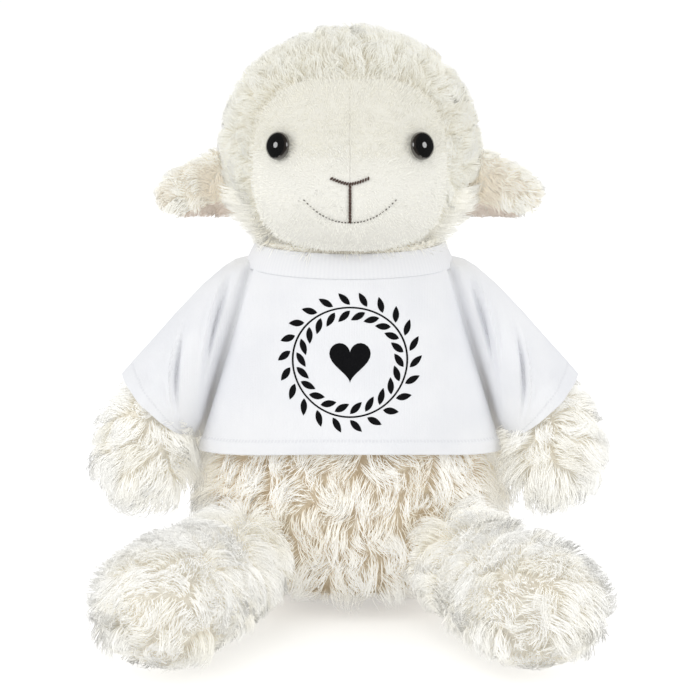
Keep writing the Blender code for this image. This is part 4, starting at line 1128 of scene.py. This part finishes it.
for word, side in SIDES:
    ear_bend = ("head", f"ear_{word}", (0.0575 * side, 0, 0.205), (0.0740 * side, 0, 0.203))
    ear_sources = (f"ear_{word}_outer", f"ear_{word}_lining")
    ear_skin = thin_skin(f"ear_{word}_skin", ear_sources, -0.0019, ear_bend, "curly_plush")

    def lined(points, side=side):
        """True on the underside, below the edge of the lining."""
        down = np.array([0.0, -math.cos(EAR_FALL), -math.sin(EAR_FALL)])
        root, tip = EAR_ROOT * (side, 1, 1), EAR_TIP * (side, 1, 1)
        along = unit(tip - root)
        down = unit(down - along * (down @ along))
        reach = math.hypot(EAR_HALF_HEIGHT * down[2], EAR_HALF_THICKNESS * math.sqrt(1 - down[2] ** 2))
        return (points - (root + tip) / 2) @ down > reach - EAR_LINING_DEPTH - 0.001

    def ear_flow(points, side=side):
        return np.array([0.9 * side, -0.1, -0.35]) + (points - np.array([0.078 * side, -0.006, 0.196])) * 12

    def root_shade(points, side=side):
        """Painted shade: darker at the root, where the ear folds."""
        return 0.05 + 1.25 * ramp(np.hypot(points[:, 0] * side - 0.061, points[:, 2] - 0.198), 0.004, 0.013)

    plant(f"ear_{word}_pile", ear_skin, 4400, lambda p: ~lined(p), ear_pile, ear_flow, 61 + side, ear_bend,
          length=0.0050, thick=0.00019, rise=0.55, lay=0.7, tuft=0.0060, gather=0.25, twist=0.7, wild=0.5,
          shade=root_shade)
    plant(f"ear_{word}_lining_pile", ear_skin, 1300, lined, lining_pile, ear_flow, 65 + side, ear_bend, "ear_lining",
          length=0.0030, thick=0.00022, rise=0.55, lay=0.6, tuft=0.003, gather=0.2, twist=0.3, wild=0.3,
          steps=(0, 0.5, 1.0))


def everywhere(points):
    return np.ones(len(points), bool)


def tail_flow(points):
    return np.tile([0.0, 0.4, -1.0], (len(points), 1)) + (points - np.array([0, 0.066, 0.045])) * 20


tail_skin = thin_skin("tail_skin", ("tail",), -0.0035, "tail", "curly_plush")
plant("tail_pile", tail_skin, 1700, everywhere, curly_pile, tail_flow, 71, "tail", length=0.0085, wild=0.5)

# %% [markdown]
# The eyes are safety eyes: a glossy dome with a dark brown rim. A ball is added, its lower half is cut off, and it
# is squashed to a dome that stands on the face cloth.

# %% Eyes
EYE_RADIUS, EYE_DOME, EYE_EDGE, EYE_SINK, EYE_OUTWARD = 0.0063, 0.0046, 0.0007, 0.0001, 0.24
paint = Paint("eye_plastic")
rim = paint.node("ShaderNodeAttribute", {"attribute_name": "rim"}, result="Fac")
mottle = paint.noise(paint.place(), 1500, 2)
brown = paint.blend(mottle, (0.012, 0.009, 0.007), (0.028, 0.020, 0.015))
colour = paint.blend(rim.step(0.84, 0.92), (0.003, 0.003, 0.003), brown)
eye_plastic = paint.finish(colour, rim.step(0.72, 0.9) * 0.15 + 0.07, Specular_IOR_Level=1.0, Coat_Weight=1.0,
                           Coat_Roughness=0.05)
for word, side in SIDES:
    eye = added(bpy.ops.mesh.primitive_uv_sphere_add, f"eye_{word}_dome", segments=64, ring_count=48, radius=1)
    edit(eye, cut_below(0), face_out)
    shape = points_of(eye)
    rims = np.hypot(shape[:, 0], shape[:, 1])
    eye.data.attributes.new("rim", "FLOAT", "POINT").data.foreach_set("value", rims.astype(np.float32))
    shape = shape * (EYE_RADIUS, EYE_RADIUS, EYE_DOME - EYE_EDGE) + (0, 0, EYE_EDGE)
    shape[np.isclose(shape[:, 2], EYE_EDGE, atol=1e-6), 2] = 0
    at = head_front(np.array([side * EYE_X]), np.array([EYE_HEIGHT]))
    out = unit(head_outward(at)[0] + np.array([EYE_OUTWARD * side, 0, 0]))
    aim = np.array(Vector((0, 0, 1)).rotation_difference(Vector(out)).to_matrix())
    set_points(eye, at[0] - out * EYE_SINK + shape @ aim.T)
    wear(eye, eye_plastic)
    smooth(eye)
    pick(eye)
    bpy.ops.object.shade_smooth_by_angle(angle=math.radians(50))
    own(eye, "head", "eye_plastic", f"eye_{word}")
print("eye across (mm):", round(EYE_RADIUS * 2000, 1))

# %% [markdown]
# Nose and mouth are embroidered in brown thread. One stitch is a small plump lozenge, and copies of it follow the
# line: slanted and close together on the nose, and as short dashes that sink into the pile on the smile.

# %% Stitches
one_stitch = added(bpy.ops.mesh.primitive_uv_sphere_add, "one_stitch", segments=8, ring_count=6, radius=1)
stitch_points = points_of(one_stitch)
stitch_faces = [tuple(face.vertices) for face in one_stitch.data.polygons]
brown_thread = mottled("brown_thread", (0.030, 0.014, 0.009), (0.12, 0.058, 0.034), 0.6, 2500, 0.0003, 0.8,
                       Sheen_Weight=0.3)
dark_thread = mottled("dark_thread", (0.035, 0.025, 0.020), (0.10, 0.075, 0.06), 0.65, 2500, 0.0003, 0.8)


def stitch_line(name, x, z, size, slant, finish, node, lift):
    """Stitches centred on x, z, each of half length, half width and half height, turned by slant from the line."""
    at = head_front(x, z)
    out = head_outward(at)
    at = face_surface(x, z)
    along = unit(np.gradient(at, axis=0))
    side = unit(np.cross(out, along))
    along = np.cross(side, out)
    turned = along * math.cos(slant) + side * math.sin(slant)
    cross = np.cross(out, turned)
    points, faces = [], []
    for k in range(len(x)):
        base = np.stack([turned[k] * size[0], cross[k] * size[1], out[k] * size[2]])
        faces += [tuple(index + k * len(stitch_points) for index in face) for face in stitch_faces]
        points.append(at[k] + out[k] * lift + stitch_points @ base)
    mesh = bpy.data.meshes.new(name)
    mesh.from_pydata(np.concatenate(points).tolist(), [], faces)
    piece = linked(name, mesh)
    wear(piece, finish)
    smooth(piece)
    own(piece, "head", "thread", node)
    print(name, "stitches:", len(x))


NOSE_HALF, NOSE_DIP, LIP_STITCHES = 0.0080, 0.0022, 12
u = np.linspace(-1, 1, 15)
stitch_line("nose_thread", NOSE_HALF * u, NOSE_HEIGHT - NOSE_DIP * (1 - np.abs(u) ** 1.5),
            (0.00095, 0.00048, 0.00060), 1.0, brown_thread, "nose_stitches", 0.0005)
z = np.linspace(NOSE_HEIGHT - 0.0034, MOUTH_HEIGHT + 0.0006, LIP_STITCHES)
stitch_line("lip_thread", np.full(LIP_STITCHES, 1e-5), z, (0.00088, 0.00062, 0.00060), 0.45, brown_thread,
            "lip_stitches", 0.0006)
u = np.linspace(-1, 1, 30)
stitch_line("mouth_thread", MOUTH_HALF * u, mouth_line(MOUTH_HALF * u), (0.00050, 0.00026, 0.0003), 0.15,
            dark_thread, "mouth_stitches", 0.0004)
bpy.data.objects.remove(one_stitch)

# %% [markdown]
# The T-shirt is thin cotton jersey. Its body is a front and a back panel that follow the torso a little way off,
# with soft folds that grow towards the hem. The front ends where its seam to the sleeve shows, and stands a little
# proud of it there. The back goes round the sides, so that a raised arm opens no gap in the shirt.

# %% Form of the shirt
CLOTH, CLOTH_ROUND, SHIRT_GAP = 0.0012, 0.0004, 0.0007
BACK_TURN = math.pi / 2 + 0.10
COLLAR_BOTTOM = 0.1595
FOLD_SEED = np.random.default_rng(5).uniform(0, 2 * math.pi, 12)


def soft_folds(angle, level):
    """How far the jersey stands off, from 0 to 1, in folds that run down to the hem."""
    wave = sum(np.sin(angle * k + FOLD_SEED[k] + 1.3 * level) / k**0.5 for k in (3, 5, 7, 9))
    return 0.5 + 0.22 * wave


def panel_reach(height):
    """How far from the middle the front panel's seam to the sleeve runs."""
    return 0.0467 + (0.1535 - height) * 0.31


def hemmed(cloth):
    """Gives jersey its thickness and rounds its cut edges."""
    modify(cloth, "SOLIDIFY", thickness=CLOTH, offset=-1)
    modify(cloth, "BEVEL", width=CLOTH_ROUND, segments=2, limit_method="ANGLE", angle_limit=math.radians(60))
    return smooth(cloth)


def shirt_panel(name, side):
    """The front (side -1) ends at its seams and its hem rises at the middle. The back (side 1) goes round the sides."""
    def place(u, v):
        top = COLLAR_BOTTOM + 0.0012
        middle_z = HEM_HEIGHT + 0.004 + (top - HEM_HEIGHT - 0.004) * v
        half_width = torso_outline(middle_z, SHIRT_GAP + CLOTH)[0]
        share = np.minimum(panel_reach(middle_z) / half_width, 0.985)
        turn = np.arcsin((2 * u - 1) * share) if side < 0 else (2 * u - 1) * BACK_TURN
        low = HEM_HEIGHT + (HEM_RISE * np.cos(turn) ** 2 if side < 0 else 0)
        z = low + (top - low) * v
        x = half_width * np.sin(turn)
        half_width, half_depth, centre = torso_outline(z, SHIRT_GAP + CLOTH)
        turn = np.arcsin(np.clip(x / half_width, -0.9995, 0.9995)) if side < 0 else turn
        loose = (1 - v) ** 1.5
        grow = 1 + (0.0022 * loose * soft_folds(turn, v) + 0.0005 * (v < 0.075)) / half_depth
        edge = 0.0012 * ramp(np.abs(2 * u - 1), 0.90, 1.0) if side < 0 else 0
        y = centre + side * (half_depth * np.cos(turn) * grow + edge)
        return np.stack([half_width * np.sin(turn) * grow, y, z], 1)

    panel = laid_grid(name, 96, 72, place)
    face_towards(panel, (0, side, 0))
    return hemmed(panel)


def cloth_size(piece):
    """Prints what one face of the cloth measures."""
    sizes = np.empty(len(piece.data.polygons))
    piece.data.polygons.foreach_get("area", sizes)
    print(piece.name, "points:", len(piece.data.vertices), "one face (cm2):", round(float(sizes.sum()) * 5000, 1))


# %% [markdown]
# Close up, jersey shows fine upright wales and a soft weave. Where its hem is turned up there is a shallow step and
# a line of stitches, placed by the panel's own map, so both follow the hem however it curves.

# %% Jersey
def jersey_finish(name, hem_at):
    """White jersey with fine wales, and a line of stitches where the hem is turned up."""
    paint = Paint(name)
    where = paint.place()
    entries = {"Vector": where, "Scale": 420.0, "Distortion": 1.5, "Detail": 2.0, "Detail Scale": 2.0}
    wales = paint.node("ShaderNodeTexWave", {"wave_type": "BANDS", "bands_direction": "X"}, entries, result="Fac")
    weave = paint.noise(where, 1400, 2)
    cloud = paint.noise(where, 40, 2)
    cloth = paint.map("UVMap")
    line = (paint.part(cloth, "Y") - hem_at).sum("ABSOLUTE")
    stitch = (1.0 - line.step(0.004, 0.010)) * (paint.part(cloth, "X") * 560.0).sum("SINE").step(-0.7, 0.2)
    colour = paint.blend(cloud.step(0.3, 0.7), (0.835, 0.845, 0.875), (0.875, 0.883, 0.905))
    colour = paint.blend(stitch * 0.35, colour, (0.70, 0.71, 0.75))
    height = wales * 0.25 + weave * 0.35 - (1.0 - line.step(0.0, 0.016)) * 0.9 + stitch * 0.5
    return paint.finish(colour, 0.9, paint.bump(height, 0.00035, 0.6), Specular_IOR_Level=0.15)


body_jersey, sleeve_jersey = jersey_finish("body_jersey", 0.075), jersey_finish("sleeve_jersey", 0.915)

# %% [markdown]
# Both panels are sewn down at the shoulders and the sides. Their flat sizes are what one face of each measures
# across and up, and the areas are printed to compare.

# %% Shirt panels
shirt_front = shirt_panel("shirt_front_panel", -1)
shirt_back = shirt_panel("shirt_back_panel", 1)
for piece, node in ((shirt_front, "shirt_front"), (shirt_back, "shirt_back")):
    wear(piece, body_jersey)
    own(piece, "torso", "jersey", node)
    cloth_size(piece)

# %% [markdown]
# A sleeve is a short wide tube from the armhole to the cuff. Soft folds run down it, deeper towards the cuff. Two
# deep dents and two shallow ones are the folds that a hanging arm presses into it.

# %% Sleeves
# Each row: share of the way from armhole to cuff, x and z of the sleeve's upper edge.
SLEEVE_TOP = np.array([(0, 0.0475, 0.1622), (0.08, 0.0540, 0.1608), (0.15, 0.0592, 0.1580), (0.3, 0.0692, 0.1500),
                       (0.5, 0.0808, 0.1380), (0.7, 0.0915, 0.1258), (0.85, 0.0990, 0.1174), (1, 0.1055, 0.1098)])
# Each row: share of the way and turn round the sleeve where a dent lies, its slant, width, reach and depth.
SLEEVE_DENTS = ((0.165, 2.62, 0.12, 0.034, 0.46, 0.0056), (0.560, 2.81, 0.23, 0.036, 0.42, 0.0050),
                (0.800, 2.45, -0.10, 0.070, 0.40, 0.0015), (0.45, 0.35, 0.06, 0.050, 0.50, 0.0026))
UNDERARM, TUCK, SLEEVE_TUCKED = np.array([0.0670, 0, 0.0758]), 0.0026, 0.2


def sleeve_points(side, share, turn):
    """Points at a share of the way from armhole to cuff, below 0 inside the armhole, and at a turn round it."""
    part = np.clip(share, 0, None)
    shares, top_x, top_z = SLEEVE_TOP.T
    top = np.stack([np.interp(part, shares, top_x), 0 * part, np.interp(part, shares, top_z)], 1)
    base = UNDERARM + (CUFF_BASE - UNDERARM) * part[:, None]
    up = unit(top - base)
    out = np.stack([up[:, 2], np.zeros(len(up)), -up[:, 0]], 1)
    swell = 0.00275 * np.sin(math.pi * part)
    centre = (top + base) / 2 - out * (0.013 * np.clip(-share, 0, None))[:, None]
    centre[:, 1] = -0.015 * part
    half_height = np.linalg.norm(top - base, axis=1) / 2
    half_depth = 0.0196 + 0.0049 * ramp(share, 0.0, 0.4) + swell
    boxy = 0.30 + 0.70 * ramp(share, 0.0, 0.45)
    lines = np.sin(turn * 7 + 0.6 + 0.8 * share) * 0.5 + 0.35 * np.sin(turn * 4 + 2.1)
    lines = lines + 0.25 * np.sin(turn * 11 + 4.0 - share)
    wave = 0.0016 * part**1.3 * (0.35 + 0.65 * lines)
    for at_share, at_turn, slant, width, reach, depth in SLEEVE_DENTS:
        line = (share - at_share - slant * (turn - at_turn)) / width
        dent = 0.6 * np.exp(-((line - 1.7) ** 2)) - np.exp(-(line**2))
        wave += depth * dent * np.exp(-(((turn - at_turn) / reach) ** 2))
    at = centre + up * (np.sin(turn) * (half_height + wave))[:, None]
    at[:, 1] += np.sign(np.cos(turn)) * np.abs(np.cos(turn)) ** boxy * (half_depth + wave)
    at[:, 1] += TUCK * (at[:, 1] < 0) * np.exp(-(((at[:, 0] - panel_reach(at[:, 2]) - 0.0012) / 0.0024) ** 2))
    return at * (side, 1, 1)


for word, side in SIDES:
    def place(u, v, side=side):
        share = np.where(v < SLEEVE_TUCKED, -0.55 + v * 2.75, (v - SLEEVE_TUCKED) / (1 - SLEEVE_TUCKED))
        return sleeve_points(side, share, u * 2 * math.pi)

    sleeve = laid_grid(f"sleeve_{word}_cloth", 112, 72, place, ring=True)
    middle = sleeve_points(side, np.array([0.5, 0.5]), np.array([0, math.pi])).mean(0)
    face_towards(sleeve, points_of(sleeve) - middle)
    wear(hemmed(sleeve), sleeve_jersey)
    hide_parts(f"sleeve_{word}")
    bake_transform(sleeve)
    cloth_size(sleeve)

# %% [markdown]
# The collar is a band of ribbing that stands round the neck seam. Its ribs are fine, so they are cut in the finish.

# %% Collar
COLLAR_HEIGHT, COLLAR_OFF, COLLAR_HALF_WALL, RIBS = 0.0115, 0.0019, 0.0008, 150


def collar_place(u, v):
    """A closed band: v goes round its wall and u round the neck."""
    turn, around = v * 2 * math.pi, u * 2 * math.pi
    z = COLLAR_BOTTOM - 0.0006 + COLLAR_HEIGHT * (0.5 + 0.5 * np.sin(turn) * 0.98)
    half_width, half_depth, centre = torso_outline(z, 0.0003)
    off = COLLAR_OFF + COLLAR_HALF_WALL * np.cos(turn) * np.abs(np.cos(turn)) ** 0.2
    return np.stack([(half_width + off) * np.cos(around), centre + (half_depth + off) * np.sin(around), z], 1)


paint = Paint("rib_jersey")
ribs = (paint.part(paint.map("UVMap"), "X") * (math.pi * 2 * RIBS)).sum("SINE") * 0.5 + 0.5
weave = paint.noise(paint.place(), 1400, 2)
# The grooves between the ribs are painted a little darker: painted shade.
colour = paint.blend(ribs, (0.845, 0.852, 0.88), (0.87, 0.877, 0.90))
rib_jersey = paint.finish(colour, 0.9, paint.bump(ribs * 0.7 + weave * 0.3, 0.00018, 0.25), Specular_IOR_Level=0.15)
collar = laid_grid("collar_rib", 160, 20, collar_place)
edit(collar, weld, face_out)
wear(collar, rib_jersey)
smooth(collar)
own(collar, "torso", "jersey", "neck_rib")
cloth_size(collar)

# %% [markdown]
# The chest carries a plain print of its own: a wreath of leaves round a small heart, in black ink.
# The motifs are flat shapes, laid on the front panel by dropping each point onto the cloth.

# %% Motifs
PRINT_CENTRE, PRINT_FLAT = np.array([0.0, 0.1235]), (1.0, 0.9)
PAIRS_OF_LEAVES, RING_POINTS = 22, 96
LEAF_LENGTH, LEAF_WIDTH, HEART_SCALE = 0.0072, 0.00165, 0.00058


def leaf_outline(length, width, points=9):
    u = np.linspace(0, 1, points)
    half = width * np.sin(math.pi * u) ** 0.8 * (1 - 0.25 * u)
    return np.concatenate([np.stack([u * length, half], 1), np.stack([u * length, -half], 1)[::-1][1:-1]])


def turned(outline, turn):
    c, s = math.cos(turn), math.sin(turn)
    return outline @ np.array([[c, s], [-s, c]])


motifs = []
for k in range(PAIRS_OF_LEAVES):
    around = 2 * math.pi * (k + 0.5) / PAIRS_OF_LEAVES
    for reach, slant in ((0.0272, 0.75), (0.0243, -0.75)):
        spot = PRINT_CENTRE + np.array([math.cos(around), math.sin(around)]) * reach * PRINT_FLAT
        motifs.append(turned(leaf_outline(LEAF_LENGTH, LEAF_WIDTH), around + math.pi / 2 - slant) + spot)
ring = np.linspace(0, 2 * math.pi, RING_POINTS + 1)[:-1]
wreath = [PRINT_CENTRE + np.stack([np.cos(ring), np.sin(ring)], 1) * r * PRINT_FLAT for r in (0.0262, 0.0254)]
t = np.linspace(0, 2 * math.pi, 41)[:-1]
heart = np.stack([16 * np.sin(t) ** 3, 13 * np.cos(t) - 5 * np.cos(2 * t) - 2 * np.cos(3 * t) - np.cos(4 * t)], 1)
motifs.append(heart * HEART_SCALE + PRINT_CENTRE + (0, 0.001))
print("motifs:", len(motifs))

# %% [markdown]
# Each motif becomes faces from its outline to a smaller one inside it and on to its middle, so that it bends with
# the cloth. The ink has a thickness of its own, because faces that share a plane would flicker.

# %% Chest print
bpy.context.view_layer.update()
cloth_tree = BVHTree.FromObject(shirt_front, bpy.context.evaluated_depsgraph_get())


def drop(flat):
    """Drops flat points onto the cloth from in front."""
    found = []
    for x, z in flat:
        hit = cloth_tree.ray_cast(Vector((x, -0.2, z)), Vector((0, 1, 0)))[0]
        found.append((x, (hit.y if hit else -0.06), z))
    return found


points, faces = [], []
for outline in motifs:
    middle = outline.mean(0)
    inner = middle + (outline - middle) * 0.5
    base, n = len(points), len(outline)
    points += drop(outline) + drop(inner) + drop([middle])
    for k in range(n):
        j = (k + 1) % n
        faces += [(base + k, base + j, base + n + j, base + n + k), (base + n + k, base + n + j, base + 2 * n)]
base = len(points)
points += drop(wreath[0]) + drop(wreath[1])
for k in range(RING_POINTS):
    j = (k + 1) % RING_POINTS
    faces.append((base + k, base + j, base + RING_POINTS + j, base + RING_POINTS + k))
mesh = bpy.data.meshes.new("chest_print")
mesh.from_pydata(points, [], faces)
chest_print = edit(linked("chest_print", mesh), face_out)
face_towards(chest_print, (0, -1, 0))
modify(chest_print, "SOLIDIFY", thickness=0.00022, offset=0)
wear(chest_print, mottled("black_ink", (0.003, 0.003, 0.004), (0.012, 0.012, 0.013), 0.8, 1600, 0.0001, 0.5,
                          Specular_IOR_Level=0.05))
own(chest_print, "torso", "jersey")
print("print faces:", len(chest_print.data.polygons))

# %% [markdown]
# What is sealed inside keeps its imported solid, and gets a plain finish of its own: the washers that lock the eyes.

# %% Inside pieces
washer_plastic = mottled("washer_plastic", (0.80, 0.80, 0.78), (0.88, 0.88, 0.86), 0.45, 700, 0.0002, 0.4)
for word, _ in SIDES:
    wear(nodes[f"eye_washer_{word}"], washer_plastic)
print("washers finished")

# %% [markdown]
# Last, the lesson prints the sizes of the dressed toy's box and of the imported one's.

# %% Measure and finish
visual_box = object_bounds()
rows = {"cad": [list(map(float, corner)) for corner in cad_box],
        "visual": [list(map(float, corner)) for corner in visual_box]}
pieces = [piece for piece in bpy.data.objects if piece.type == "MESH" and not piece.hide_render and piece != floor]
counts = [sum(len(face.vertices) - 2 for face in piece.data.polygons) for piece in pieces]
print("pieces:", len(pieces), "triangles:", sum(counts), "most on one:", max(counts))
for word, corners in rows.items():
    print(word, [round((high - low) * 1000, 1) for low, high in zip(*corners)], "mm")
